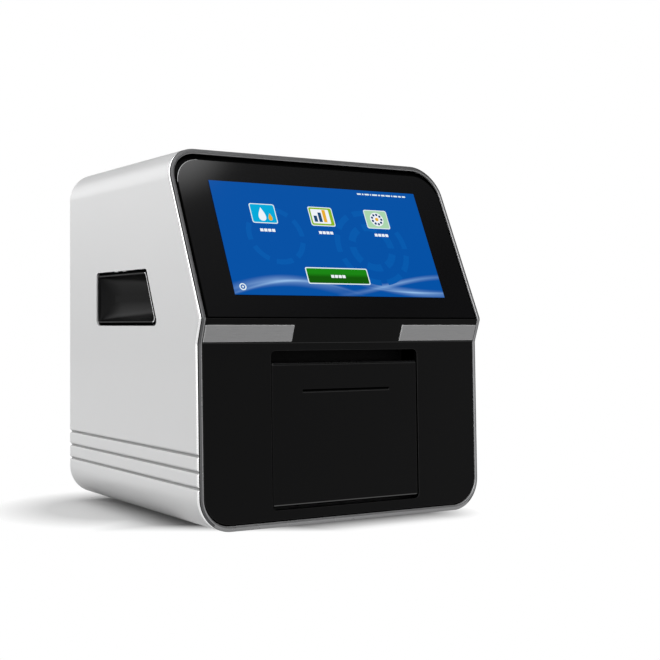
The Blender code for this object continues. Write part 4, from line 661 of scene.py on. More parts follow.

# The accent bars: brushed aluminium strips let into the slanted band at both sides, their fine rounded edges
# painted pale grey as a highlight.
bar_metal = add_finish(
    "bar_metal", (0.305, 0.305, 0.308), 0.36, metallic=0.85, brushed=0.00001, dust=0.02
)
bar_edge = add_finish("bar_edge", (0.62, 0.62, 0.625), 0.26, metallic=0.3, dust=0.0)
bar_finishes = (bar_metal, bar_edge)
for side in ("left", "right"):
    finished_copy(
        "brushed_bar_" + side, "accent_bar_" + side, bar_finishes, "brushed_grey", "housing", STRIP_EDGE,
        edge_slot=1,
    )

# The touch glass: 3 mm glass printed black behind, with rounded edges: the upper left of the edge is painted
# a bright highlight and the rest black as shade. It lies a little below the ring and leaves a dark gap round
# it.
(KINK_Y, KINK_Z), (HEAD_Y, HEAD_Z) = FACE_LINE[2:]
GLASS_ORIGIN = Vector((0.0, KINK_Y, KINK_Z))
GLASS_SLOPE = math.atan2(HEAD_Z - KINK_Z, HEAD_Y - KINK_Y)
UP_FACE = Vector((0.0, math.cos(GLASS_SLOPE), math.sin(GLASS_SLOPE)))
OUT_OF_FACE = Vector((0.0, -math.sin(GLASS_SLOPE), math.cos(GLASS_SLOPE)))
GLASS_HALF_WIDTH = 0.0958
GLASS_FOOT = 0.0007
GLASS_HEAD = 0.1070
GLASS_SINK = 0.00027
GLASS_THICKNESS = 0.0027
GLASS_CORNER_TOP = 0.0165
GLASS_EDGE = 0.00045


def on_face(x, rise, level):
    """A point on the slanted face: across, up along it, and out of it."""
    return GLASS_ORIGIN + Vector((x, 0.0, 0.0)) + UP_FACE * rise + OUT_OF_FACE * level


def glass_outline():
    """Square at the foot and round at the head. The head's arcs are taller than wide on the slope."""
    stretch = 1 / math.sin(GLASS_SLOPE)
    points = [(-GLASS_HALF_WIDTH, GLASS_FOOT), (GLASS_HALF_WIDTH, GLASS_FOOT)]
    for side, start in ((1, 0.0), (-1, math.pi / 2)):
        for step in range(CORNER_STEPS + 1):
            turn = start + math.pi / 2 * step / CORNER_STEPS
            x = side * (GLASS_HALF_WIDTH - GLASS_CORNER_TOP) + GLASS_CORNER_TOP * math.cos(turn)
            rise = GLASS_HEAD - GLASS_CORNER_TOP * stretch * (1 - math.sin(turn))
            points.append((x, rise))
    return points


glass_back = -GLASS_SINK - GLASS_THICKNESS
touch_glass = slab("front_glass", glass_outline(), on_face, glass_back, -GLASS_SINK)
soften(touch_glass, GLASS_EDGE, segments=4, angle=40)
settle(touch_glass)
black_glass = add_finish(
    "black_glass", (0.004, 0.004, 0.0045), 0.07, spread=0.05, grain_scale=900.0, grain_depth=0.0000004,
    dust=0.01,
)
glass_edge = add_finish("glass_edge", (0.34, 0.34, 0.345), 0.20, metallic=0.9, dust=0.0)
dress(touch_glass, (black_glass, seam_black, glass_edge), "gloss_black_glass", "housing", "touch_glass")
# How a face of the rounded edge leans out of the face, and how far up it looks where the highlight is
# painted
FLAT_FACING = 0.995
SLANT_FACING = 0.3
UP_FACING = 0.06


def on_edge(spot, way):
    return way.dot(OUT_OF_FACE) < FLAT_FACING


def on_lit_edge(spot, way):
    slanted = SLANT_FACING < way.dot(OUT_OF_FACE) < FLAT_FACING
    return slanted and way.dot(UP_FACE) > UP_FACING and spot.x < 0


repaint(touch_glass, 1, on_edge)
repaint(touch_glass, 2, on_lit_edge)

# The picture on the display, seen at the glass: a blue ground with soft ribbons of light along its foot.
PICTURE_HALF_WIDTH = 0.0753
PICTURE_FOOT = 0.0153
PICTURE_HEAD = 0.0924
PICTURE_LEVEL = 0.00004
LAYER_STEP = 0.00003
LIT_BASE = (0.0005, 0.0005, 0.0005, 1.0)
LIT_SPECULAR = 0.15
LIT_ROUGHNESS = 0.07
GROUND_BLUE = (0.0005, 0.082, 0.375)
RIBBON_BLUE = (0.33, 0.55, 0.86)
RIBBON_STRENGTH = 0.55
RIBBON_FALL = 1.3
RIBBON_SIZES = ("Level", "Slope", "Swing", "Pitch", "Phase", "Width", "Centre", "Reach")
RIBBON_DEFAULTS = (0.1, 0.0, 0.1, 4.0, 0.0, 0.05, 0.5, 0.4)
RIBBONS = (
    (0.02, 0.0, 0.11, 5.2, 0.3, 0.055, 0.20, 0.34),
    (0.00, 0.0, 0.13, 5.0, 0.1, 0.018, 0.24, 0.36),
    (-0.02, 0.16, 0.05, 6.0, 2.0, 0.030, 0.80, 0.34),
    (0.34, -0.30, 0.05, 5.6, 0.4, 0.045, 0.84, 0.30),
    (0.30, -0.27, 0.05, 5.6, 0.9, 0.012, 0.86, 0.28),
)


def light_ribbon_group():
    """A soft band that follows a sine across the picture and is brightest along its middle."""
    sizes = [(label, "Float", value) for label, value in zip(RIBBON_SIZES, RIBBON_DEFAULTS)]
    group, enter, leave = effect_group("light_ribbon", sizes, [("Light", "Float")])
    flat = parts_of(group, coordinates(group, "UV"))
    u, v = flat["X"], flat["Y"]
    phase = maths(group, "ADD", maths(group, "MULTIPLY", u, enter["Pitch"]), enter["Phase"])
    swing = maths(group, "MULTIPLY", maths(group, "SINE", phase), enter["Swing"])
    slope = maths(group, "MULTIPLY", u, enter["Slope"])
    curve = maths(group, "ADD", maths(group, "ADD", swing, slope), enter["Level"])
    above = maths(group, "SUBTRACT", v, curve)
    thick = maths(group, "DIVIDE", maths(group, "ABSOLUTE", above), enter["Width"])
    body = maths(group, "SUBTRACT", 1.0, thick, clamp=True)
    aside = maths(group, "ABSOLUTE", maths(group, "SUBTRACT", u, enter["Centre"]))
    fade = maths(group, "SUBTRACT", 1.0, maths(group, "DIVIDE", aside, enter["Reach"]), clamp=True)
    light = maths(group, "MULTIPLY", maths(group, "POWER", body, RIBBON_FALL), fade)
    group.links.new(light, leave["Light"])
    return group


LIGHT_RIBBON = light_ribbon_group()


def add_lit_finish(name, colour=None):
    """A lit part of the picture, glossy as the glass that it shows through."""
    made = new_material(name)
    shader = shader_of(made)
    fill(
        made.node_tree, shader, Base_Color=LIT_BASE, Specular_IOR_Level=LIT_SPECULAR,
        Roughness=LIT_ROUGHNESS, Emission_Strength=1.0,
    )
    if colour:
        shader.inputs["Emission Color"].default_value = (*colour, 1.0)
    return made


def picture_ground():
    """The blue ground with its ribbons. Each ribbon has its own place, swing and reach."""
    made = add_lit_finish("picture_ground")
    tree = made.node_tree
    total = 0.0
    for ribbon in RIBBONS:
        light = place_group(tree, LIGHT_RIBBON, **dict(zip(RIBBON_SIZES, ribbon))).outputs["Light"]
        total = maths(tree, "ADD", total, light)
    share = maths(tree, "MULTIPLY", total, RIBBON_STRENGTH, clamp=True)
    fill(tree, shader_of(made), Emission_Color=blend_colours(tree, share, GROUND_BLUE, RIBBON_BLUE))
    return made


def picture_piece(name, material, outlines, layer):
    """Flat shapes of one colour on the picture, on a layer of their own. Each has a UV map over its box."""
    form = bmesh.new()
    level = PICTURE_LEVEL + layer * LAYER_STEP
    for outline in outlines:
        form.faces.new([form.verts.new(on_face(x, rise, level)) for x, rise in outline])
    mesh = mesh_of(name, form)
    spots = [spot for outline in outlines for spot in outline]
    lows = [min(spot[axis] for spot in spots) for axis in (0, 1)]
    spans = [max(spot[axis] for spot in spots) - lows[axis] for axis in (0, 1)]
    flat = mesh.uv_layers.new(name="flat")
    order = iter(spots)
    for corner in flat.data:
        x, rise = next(order)
        corner.uv = ((x - lows[0]) / spans[0], (rise - lows[1]) / spans[1])
    return dress(add_object(name, mesh), material, "screen_glass", "housing")


def box_outline(x, rise, width, height, radius=0.0, steps=5):
    """A rectangle round a centre, with round corners if asked."""
    corners = [
        (x - width / 2, rise - height / 2), (x + width / 2, rise - height / 2),
        (x + width / 2, rise + height / 2), (x - width / 2, rise + height / 2),
    ]
    return [tuple(spot) for spot in rounded(corners, radius, steps)] if radius else corners


def even_turns(count):
    return [2 * math.pi * step / count for step in range(count)]


def arc_points(x, rise, radius, turns):
    return [(x + radius * math.cos(turn), rise + radius * math.sin(turn)) for turn in turns]


def round_outline(x, rise, radius, steps=32):
    return arc_points(x, rise, radius, even_turns(steps))


picture_middle = (PICTURE_FOOT + PICTURE_HEAD) / 2
picture_height = PICTURE_HEAD - PICTURE_FOOT
picture_box = box_outline(0.0, picture_middle, 2 * PICTURE_HALF_WIDTH, picture_height)
picture_piece("screen_ground", picture_ground(), [picture_box], 0)

# Behind the tiles lie faint broken rings, lighter than the ground by a little.
# Place, outer radius, width and number of pieces of each
FAINT_RINGS = (
    (0.030, 0.050, 0.0270, 0.0040, 9), (0.030, 0.050, 0.0170, 0.0050, 6), (-0.038, 0.056, 0.0200, 0.0035, 7)
)
FAINT_RING_SHARE = 0.72
FAINT_LAYER = 0.5


def ring_segments(x, rise, radius, width, count, steps=14):
    """A ring broken into equal pieces, each piece an outline."""
    outlines = []
    for start in even_turns(count):
        sweep = 2 * math.pi * FAINT_RING_SHARE / count
        turns = [start + sweep * step / steps for step in range(steps + 1)]
        inner = arc_points(x, rise, radius - width, turns)
        outlines.append(arc_points(x, rise, radius, turns) + inner[::-1])
    return outlines


faint_blue = add_lit_finish("picture_faint_blue", (0.001, 0.100, 0.415))
faint_pieces = [piece for ring in FAINT_RINGS for piece in ring_segments(*ring)]
picture_piece("faint_rings", faint_blue, faint_pieces, FAINT_LAYER)

# The three tiles on the picture, each a coloured square with a pale edge and a plain sign of its own:
# a drop, three columns and a ring of cells. Short bars stand where the words would be.
TILE_RISE = 0.0710
TILE_SIZE = (0.0176, 0.0137)
TILE_RADIUS = 0.0014
TILE_EDGE = 0.0006
TILES = (
    ("drop", -0.0431, (0.0, 0.40, 0.70)), ("columns", -0.0018, (0.26, 0.47, 0.02)),
    ("cells", 0.0397, (0.40, 0.66, 0.42)),
)
WORD_SHIFT = 0.0002
WORD_RISE = 0.0594
WORD_HEIGHT = 0.0020
WORD_BLOCK = 0.0022
WORD_STEP = 0.0027
WORD_COUNT = 4
pale = add_lit_finish("picture_pale", (0.75, 0.86, 0.90))
white = add_lit_finish("picture_white", (0.86, 0.90, 0.95))
navy = add_lit_finish("picture_navy", (0.01, 0.06, 0.16))
amber = add_lit_finish("picture_amber", (0.80, 0.42, 0.03))
# Place from the middle of its tile, size, finish and layer
DROPS = {
    "sign_drop": (-0.0012, -0.0004, 0.0048, white, 3),
    "sign_drop_small": (0.0042, -0.0022, 0.0026, amber, 4),
}
DROP_STEPS = 36
DROP_WIDTH = 0.75
DROP_POINT = 1.4
# Place from the middle of the tile and height
COLUMNS = ((-0.0046, -0.0018, 0.0044), (-0.0012, -0.0006, 0.0068), (0.0022, 0.0004, 0.0088))
COLUMN_WIDTH = 0.0024
SHEET_SHIFT = -0.0006
SHEET_SIZE = (0.0130, 0.0102)
SHEET_RADIUS = 0.0006
WHEEL_RADIUS = 0.0050
WHEEL_HUB_RADIUS = 0.0013
CELL_RING_RADIUS = 0.0035
CELL_RADIUS = 0.0009
CELL_COUNT = 9


def framed_field(edge_name, field_name, finish, x, rise, size, radius, edge):
    """A field with round corners and a pale edge."""
    width, height = size
    picture_piece(edge_name, pale, [box_outline(x, rise, width, height, radius)], 1)
    field = box_outline(x, rise, width - 2 * edge, height - 2 * edge, radius - edge / 2)
    picture_piece(field_name, finish, [field], 2)


def word_blocks(x, rise):
    centres = [x + WORD_STEP * (step - (WORD_COUNT - 1) / 2) for step in range(WORD_COUNT)]
    return [box_outline(centre, rise, WORD_BLOCK, WORD_HEIGHT) for centre in centres]


def drop_outline(x, rise, size):
    """A drop with its point up."""
    points = []
    for turn in even_turns(DROP_STEPS):
        width = DROP_WIDTH * math.sin(turn / 2) ** DROP_POINT
        points.append((x + size * math.sin(turn) * width, rise + size * math.cos(turn)))
    return points


for sign, x, colour in TILES:
    edge_name, name = "tile_edge_" + sign, "tile_" + sign
    finish = add_lit_finish(name, colour)
    framed_field(edge_name, name, finish, x, TILE_RISE, TILE_SIZE, TILE_RADIUS, TILE_EDGE)
    picture_piece("word_bars_" + sign, white, word_blocks(x + WORD_SHIFT, WORD_RISE), 1)

drop_x, columns_x, cells_x = (x for _, x, _ in TILES)
for name, (shift, lift, size, finish, layer) in DROPS.items():
    picture_piece(name, finish, [drop_outline(drop_x + shift, TILE_RISE + lift, size)], layer)
columns = [
    box_outline(columns_x + shift, TILE_RISE + lift, COLUMN_WIDTH, height) for shift, lift, height in COLUMNS
]
sheet = box_outline(columns_x + SHEET_SHIFT, TILE_RISE, *SHEET_SIZE, SHEET_RADIUS)
picture_piece("sign_sheet", white, [sheet], 3)
picture_piece("sign_columns", navy, columns[:2], 4)
picture_piece("sign_column_high", amber, columns[2:], 4)
picture_piece("sign_wheel", white, [round_outline(cells_x, TILE_RISE, WHEEL_RADIUS)], 3)
cell_places = arc_points(cells_x, TILE_RISE, CELL_RING_RADIUS, even_turns(CELL_COUNT))
picture_piece("sign_cells", navy, [round_outline(*place, CELL_RADIUS, steps=12) for place in cell_places], 4)
picture_piece("sign_wheel_hub", amber, [round_outline(cells_x, TILE_RISE, WHEEL_HUB_RADIUS, steps=20)], 4)

# The start field on the picture: a green field with a pale edge, shaded from light to dark, and bars for its
# word. Thin bars at the head stand for the time, and a small ring stands in the corner.
START_PLACE = (-0.0013, 0.0290)
START_SIZE = (0.0448, 0.0114)
START_RADIUS = 0.0012
START_EDGE = 0.0007
START_WORD_DROP = 0.0003
TIME_START = 0.0300
TIME_RISE = 0.0895
TIME_HEIGHT = 0.0011
TIME_GAP = 0.0008
TIME_WIDTHS = (
    0.0030, 0.0012, 0.0034, 0.0008, 0.0040, 0.0014, 0.0028, 0.0036, 0.0010, 0.0030, 0.0022, 0.0026
)
CORNER_PLACE = (-0.0690, 0.0205)
CORNER_RADII = (0.0023, 0.0015, 0.0007)
CORNER_RING_STEPS = (28, 28, 16)
FIELD_SHADE_START = 0.42
FIELD_SHADE_RATE = 4.0


def shaded_finish(name, foot, head):
    """A lit colour that changes from the foot to the head of a piece."""
    made = add_lit_finish(name)
    tree = made.node_tree
    above = maths(tree, "SUBTRACT", parts_of(tree, coordinates(tree, "UV"))["Y"], FIELD_SHADE_START)
    steep = maths(tree, "MULTIPLY", above, FIELD_SHADE_RATE, clamp=True)
    fill(tree, shader_of(made), Emission_Color=blend_colours(tree, steep, foot, head))
    return made


start_green = shaded_finish("start_green", (0.006, 0.10, 0.002), (0.010, 0.235, 0.006))
framed_field("start_edge", "start_field", start_green, *START_PLACE, START_SIZE, START_RADIUS, START_EDGE)
start_x, start_rise = START_PLACE
picture_piece("start_bars", white, word_blocks(start_x, start_rise - START_WORD_DROP), 3)
time_marks = []
mark_x = TIME_START
for width in TIME_WIDTHS:
    time_marks.append(box_outline(mark_x + width / 2, TIME_RISE, width, TIME_HEIGHT))
    mark_x += width + TIME_GAP
picture_piece("time_bars", pale, time_marks, 1)
ring_line, middle_line, dot_line = (
    round_outline(*CORNER_PLACE, radius, steps) for radius, steps in zip(CORNER_RADII, CORNER_RING_STEPS)
)
picture_piece("corner_ring", pale, [ring_line], 1)
picture_piece("corner_ring_middle", add_lit_finish("corner_blue", (0.004, 0.10, 0.40)), [middle_line], 2)
picture_piece("corner_dot", pale, [dot_line], 3)

# The hand-holds: gloss black cups in both sides, moulded in one piece and clipped in from inside the cover.
# Inside a narrow rounded rim lies a round trough for the fingers, shallow at the rear end and deep at the
# slanted front end.
CUP_REAR_DEPTH = 0.0050
CUP_FRONT_DEPTH = 0.0200
CUP_WALL = 0.0018
CUP_MOUTH = 0.0029
CUP_MOUTH_DEPTH = 0.0010
CUP_REAR_REACH = 0.0200
CUP_FRONT_REACH = 0.0070
# How far each ring of points is moved out of the hold's outline, and how deep it lies. A step painted black
# as shade runs round the outside, then a bevel rises to a narrow ridge at the mouth, painted bright as a
# highlight along the slanted front end.
CUP_RIM_RINGS = (
    (0.0, 0.0025), (0.0, 0.0012), (-0.0002, 0.0010), (-0.0009, 0.0010), (-0.0010, 0.00095),
    (-0.0018, 0.00015), (-0.0019, 0.00006), (-0.0021, 0.00003), (-0.0023, 0.00008), (-0.0026, 0.0003),
    (-0.0028, 0.0006), (-CUP_MOUTH, CUP_MOUTH_DEPTH),
)
CUP_RIDGE_START, CUP_RIDGE_END = 5, 9
CUP_TROUGH_RINGS = (
    -0.00295, -0.0031, -0.0034, -0.0039, -0.0046, -0.0055, -0.0066, -0.0078, -0.0092, -0.0107, -0.0123,
    -0.0140, -0.0156,
)
CUP_BACK_RINGS = (-0.0125, -0.0090, -0.0060, -0.0035, -0.0015, -0.0005)
CUP_FLANGE_DEPTH = 0.0025
CUP_FLANGE_INSET = -0.0003
HOLD_EDGE_PIECES = (28, 10)
BOWL_POWER = 2.6
BOWL_ROOT = 0.45


def dense_outline(distance):
    """The hold's outline with points along its straight edges too."""
    spots = hold_outline(distance)
    count = HOLD_CORNER_STEPS + 1
    points = []
    for corner in range(4):
        arc = spots[corner * count:(corner + 1) * count]
        after = spots[(corner + 1) * count % len(spots)]
        pieces = HOLD_EDGE_PIECES[corner % 2]
        points += arc + [arc[-1].lerp(after, step / pieces) for step in range(1, pieces)]
    return points


def bowl(share):
    """A round profile that starts steeply at 0 and is level at 1."""
    return (1 - (1 - min(1.0, max(0.0, share))) ** BOWL_POWER) ** BOWL_ROOT


def trough_depth(y, z):
    """How deep the trough lies at a place in the side."""
    (front, low), (rear, _), (_, high), (front_top, _) = HOLD_CORNERS
    slant = front + (front_top - front) * (z - low) / (high - low)
    lean = math.cos(math.atan2(front_top - front, high - low))
    reach = (high - low) / 2 - CUP_MOUTH
    across = bowl(1 - abs(z - (low + high) / 2) / reach)
    ends = bowl((rear - CUP_MOUTH - y) / CUP_REAR_REACH)
    ends *= bowl(((y - slant) * lean - CUP_MOUTH) / CUP_FRONT_REACH)
    floor = CUP_REAR_DEPTH + (CUP_FRONT_DEPTH - CUP_REAR_DEPTH) * (rear - y) / (rear - front)
    return CUP_MOUTH_DEPTH + (floor - CUP_MOUTH_DEPTH) * across * ends


def cup(name, side):
    """Rings of points from the cup's flange over the rim and down the trough, and back behind the wall."""
    rows = []
    for distance, depth in CUP_RIM_RINGS:
        rows.append([(y, z, depth) for y, z in dense_outline(distance)])
    for distance in CUP_TROUGH_RINGS:
        rows.append([(y, z, trough_depth(y, z)) for y, z in dense_outline(distance)])
    fronts = len(rows)
    for distance in CUP_BACK_RINGS:
        inner = dense_outline(min(distance - CUP_WALL, -CUP_MOUTH))
        rows.append([
            (y, z, max(CUP_FLANGE_DEPTH, trough_depth(inner_y, inner_z) + CUP_WALL))
            for (y, z), (inner_y, inner_z) in zip(dense_outline(distance), inner)
        ])
    rows.append([(y, z, CUP_FLANGE_DEPTH) for y, z in dense_outline(CUP_FLANGE_INSET)])
    form = bmesh.new()
    places = [[(side * (BODY_HALF_WIDTH - depth), y, z) for y, z, depth in row] for row in rows]
    loops = add_loops(form, places)
    shown, behind = loops[:fronts], loops[fronts:]
    for here, there in [*zip(shown, shown[1:]), *zip(behind, behind[1:] + shown[:1])]:
        join_loops(form, here, there)
    form.faces.new(shown[-1])
    form.faces.new(behind[0])
    return mesh_object(name, form)


gloss_black = add_finish(
    "gloss_black", (0.0020, 0.0020, 0.0022), 0.32, specular=0.075, spread=0.06, grain_scale=1200.0,
    grain_depth=0.000001, dust=0.004,
)
hold_edge = add_finish("hold_edge", (0.72, 0.72, 0.725), 0.22, metallic=0.7, dust=0.0)
hold_finishes = (gloss_black, seam_black, hold_edge)
ring_faces = sum(HOLD_EDGE_PIECES) * 2 + 4 * HOLD_CORNER_STEPS
front_start = ring_faces - HOLD_EDGE_PIECES[1] - HOLD_CORNER_STEPS
for side_name, side in (("left", -1), ("right", 1)):
    hold = cup("hand_hold_" + side_name, side)
    shade_evenly(hold)
    dress(hold, hold_finishes, "gloss_black", "housing", "side_handle_" + side_name)
    # Painted shade on the outer step, and a painted highlight on the ridge along the slanted front end and
    # its corners
    for face in hold.data.polygons[:len(CUP_RIM_RINGS) * ring_faces]:
        ring, place = divmod(face.index, ring_faces)
        if ring < CUP_RIDGE_START:
            face.material_index = 1
        elif ring < CUP_RIDGE_END and (place >= front_start or place < HOLD_CORNER_STEPS):
            face.material_index = 2

# The drawer front: a satin black plate with rounded edges, which the light from the table catches below.
# A shallow slit is moulded across it near the top.
FRONT_HALF_WIDTH = 0.0524
FRONT_LOW = 0.0166
FRONT_TOP = 0.1010
FRONT_SINK = 0.0006
FRONT_THICKNESS = 0.0035
FRONT_EDGE = 0.0017
SLIT_RISE = 0.0843
SLIT_HALF_LENGTH = 0.0310
SLIT_HALF_WIDTH = 0.0005
SLIT_DEPTH = 0.0009
SLIT_REACH = 0.0020
SLIT_EDGE = 0.0002
SLIT_PAINTED = 0.0015
SLIT_FOOT_PAINTED = 0.0016
SLIT_FOOT_TILT = 0.3
# How far a face of the plate's rounded edge looks up or down, forwards, and at most sideways
ROUNDING_TILT = 0.15
ROUNDING_FACING = -0.1
ROUNDING_ASIDE = 0.5


def plate_y(height, back=0.0):
    """Where the plate's front lies at a height, or a place behind it."""
    return face_y(height) + FRONT_SINK + back


plate_line = [
    (plate_y(FRONT_LOW), FRONT_LOW), (plate_y(FRONT_LOW, FRONT_THICKNESS), FRONT_LOW),
    (plate_y(FRONT_TOP, FRONT_THICKNESS), FRONT_TOP), (plate_y(FRONT_TOP), FRONT_TOP),
]
plate_edge = add_finish(
    "plate_edge", MOULDED_BLACK, 0.20, specular=1.0, grain_scale=MOULDED_GRAIN, grain_depth=0.000001,
    dust=0.0,
)
drawer_plate = slab("drawer_plate", plate_line, across_x, -FRONT_HALF_WIDTH, FRONT_HALF_WIDTH)
for finish in (satin_black, black_edge, seam_black, plate_edge):
    drawer_plate.data.materials.append(finish)
soften(drawer_plate, FRONT_EDGE, segments=6, angle=40)
settle(drawer_plate)


def on_front_rounding(way):
    return way.y < ROUNDING_FACING and abs(way.x) < ROUNDING_ASIDE


def on_head(spot, way):
    return way.z > ROUNDING_TILT and on_front_rounding(way)


def on_foot(spot, way):
    return way.z < -ROUNDING_TILT and on_front_rounding(way)


repaint(drawer_plate, 1, on_head)
repaint(drawer_plate, 3, on_foot)
slit_front = plate_y(SLIT_RISE)
slit_head = SLIT_RISE + SLIT_HALF_WIDTH
slit_foot = SLIT_RISE - SLIT_HALF_WIDTH
slit_line = [
    (slit_front - SLIT_REACH, slit_head), (slit_front - SLIT_REACH, slit_foot - SLIT_DEPTH - SLIT_REACH),
    (slit_front + SLIT_DEPTH, slit_foot), (slit_front + SLIT_DEPTH, slit_head),
]
carve(drawer_plate, slab("slit_cut", slit_line, across_x, -SLIT_HALF_LENGTH, SLIT_HALF_LENGTH))
soften(drawer_plate, SLIT_EDGE, segments=2, angle=60)
settle(drawer_plate)


def in_slit(spot, way):
    return abs(spot.z - SLIT_RISE) < SLIT_PAINTED and spot.y > slit_front + SLIT_EDGE


def on_slit_foot(spot, way):
    slanted = way.z > SLIT_FOOT_TILT and way.y < -SLIT_FOOT_TILT
    return slanted and abs(spot.z - SLIT_RISE) < SLIT_FOOT_PAINTED


# The inside of the slit is painted black as the shade in it
repaint(drawer_plate, 2, in_slit)
repaint(drawer_plate, 1, on_slit_foot)
attach(drawer_plate, "satin_black", "drawer", "drawer_front")

# The feet: four turned rubber pads, glued and screwed under the floor of the cover.
# Each has a flat sole with a round edge and widens a little towards its head.
FOOT_PLACES = ((-0.054, -0.0578), (0.054, -0.0578), (-0.054, 0.0600), (0.054, 0.0600))


def tree_with_sockets(name, inputs):
    """A Geometry Nodes tree with a geometry in and out and named sizes."""
    geometry = ("Geometry", "Geometry")
    return new_tree(name, "GeometryNodeTree", [geometry, *inputs], [geometry])


def add_node(tree, kind, settings=None, **links):
    """A node with its settings, and its inputs set or linked by name. Gives back its first output."""
    node = tree.nodes.new(kind)
    for label, value in (settings or {}).items():
        setattr(node, label, value)
    fill(tree, node, **links)
    return node.outputs[0]


def finish_tree(tree, leave, geometry, material):
    """Ends a tree: its copies become real and take their finish."""
    real = add_node(tree, "GeometryNodeRealizeInstances", Geometry=geometry)
    painted = add_node(tree, "GeometryNodeSetMaterial", Geometry=real, Material=material)
    tree.links.new(painted, leave["Geometry"])
    return tree


def vector_of(tree, **parts):
    return add_node(tree, "ShaderNodeCombineXYZ", **parts)


def points_object(name, places):
    """An object whose vertices are the places where a tree sets its copies."""
    mesh = bpy.data.meshes.new(name)
    mesh.from_pydata(places, [], [])
    return add_object(name, mesh)


def run_tree(piece, tree, **values):
    """Runs a tree on a piece and keeps the result as its plain mesh."""
    modifier = piece.modifiers.new(tree.name, "NODES")
    modifier.node_group = tree
    for item in tree.interface.items_tree:
        label = item.name.replace(" ", "_")
        if item.in_out == "INPUT" and label in values:
            modifier[item.identifier] = values[label]
    settle(piece)
    piece.data.shade_smooth()
    return piece


def copies_on(tree, points, instance, **links):
    """A copy of some geometry on every point."""
    return add_node(tree, "GeometryNodeInstanceOnPoints", Points=points, Instance=instance, **links)


def pad_tree(material):
    """Turned pads on every point: a sole and a wider head."""
    tree, enter, leave = tree_with_sockets(
        "rubber_pads", [("Radius", "Float", 0.008), ("Taper", "Float", 0.001), ("Height", "Float", 0.0047)]
    )
    narrow = maths(tree, "SUBTRACT", enter["Radius"], enter["Taper"])
    cone = add_node(
        tree, "GeometryNodeMeshCone", Vertices=48, Radius_Top=enter["Radius"], Radius_Bottom=narrow,
        Depth=enter["Height"],
    )
    return finish_tree(tree, leave, copies_on(tree, enter["Geometry"], cone), material)


rubber = add_finish(
    "black_rubber", (0.014, 0.014, 0.014), 0.78, specular=0.3, grain_scale=3000.0, grain_depth=0.00002
)
feet = points_object("feet", [(x, y, 0.0) for x, y in FOOT_PLACES])
run_tree(feet, pad_tree(rubber))
soften(feet, CASE_EDGE, segments=3, angle=40)
attach(
    feet, "black_rubber", "housing", "foot_front_left", "foot_front_right", "foot_rear_left",
    "foot_rear_right",
)

# The rear panel: a 2 mm steel plate in grey paint that slides in behind the cover's lip.
# Two fields of upright slots with round ends let the fan and the loudspeaker breathe through it.
PANEL_IN = 0.0994
PANEL_OUT = 0.1014
PANEL_INSET = 0.0028
PANEL_CORNER_STEPS = 16
VENT_HEIGHT = 0.1700
VENT_CENTRES = (-0.0450, 0.0450)
VENT_WELD = 0.00001
VENT_ROUNDING = 0.495
# Place, width and height of each socket and of the inlet
SOCKET_PLACES = (
    (0.0620, 0.0530, 0.0160, 0.0135), (0.0420, 0.0530, 0.0140, 0.0070), (0.0220, 0.0530, 0.0140, 0.0070)
)
INLET_PLACE = (-0.0550, 0.0530, 0.0260, 0.0440)
SCREW_PLACES = ((-0.0910, 0.04982), (0.0910, 0.04982), (-0.0910, 0.18428), (0.0910, 0.18428))
SCREW_HOLE_RADIUS = 0.0017
HOLE_SLACK = 0.0003
HOLE_REACH = 0.002


def across_y(x, z, y):
    return (x, y, z)


panel_width = 2 * (BODY_HALF_WIDTH - PANEL_INSET)
panel_height = BODY_TOP - BODY_LOW - 2 * PANEL_INSET
panel_outline = box_outline(
    0.0, BODY_MIDDLE, panel_width, panel_height, BODY_CORNER - PANEL_INSET, PANEL_CORNER_STEPS
)
back_panel = slab("back_panel", panel_outline, across_y, PANEL_IN, PANEL_OUT)
panel_cuts = [
    box_outline(x, z, width + 2 * HOLE_SLACK, height + 2 * HOLE_SLACK)
    for x, z, width, height in (*SOCKET_PLACES, INLET_PLACE)
]
panel_cuts += [round_outline(x, z, SCREW_HOLE_RADIUS, steps=24) for x, z in SCREW_PLACES]
for outline in panel_cuts:
    carve(back_panel, slab("panel_cut", outline, across_y, PANEL_IN - HOLE_REACH, PANEL_OUT + HOLE_REACH))


def moved(tree, geometry, **links):
    return add_node(tree, "GeometryNodeTransform", Geometry=geometry, **links)


def combined(tree, operation, **links):
    """The union or difference of closed meshes."""
    return add_node(tree, "GeometryNodeMeshBoolean", dict(operation=operation, solver="EXACT"), **links)


def even_row(tree, count, pitch):
    """Points along X at an even pitch, centred on the origin."""
    less_one = maths(tree, "SUBTRACT", count, 1.0)
    start = maths(tree, "MULTIPLY", maths(tree, "MULTIPLY", less_one, pitch), -0.5)
    return add_node(
        tree, "GeometryNodeMeshLine", Count=count, Start_Location=vector_of(tree, X=start),
        Offset=vector_of(tree, X=pitch),
    )


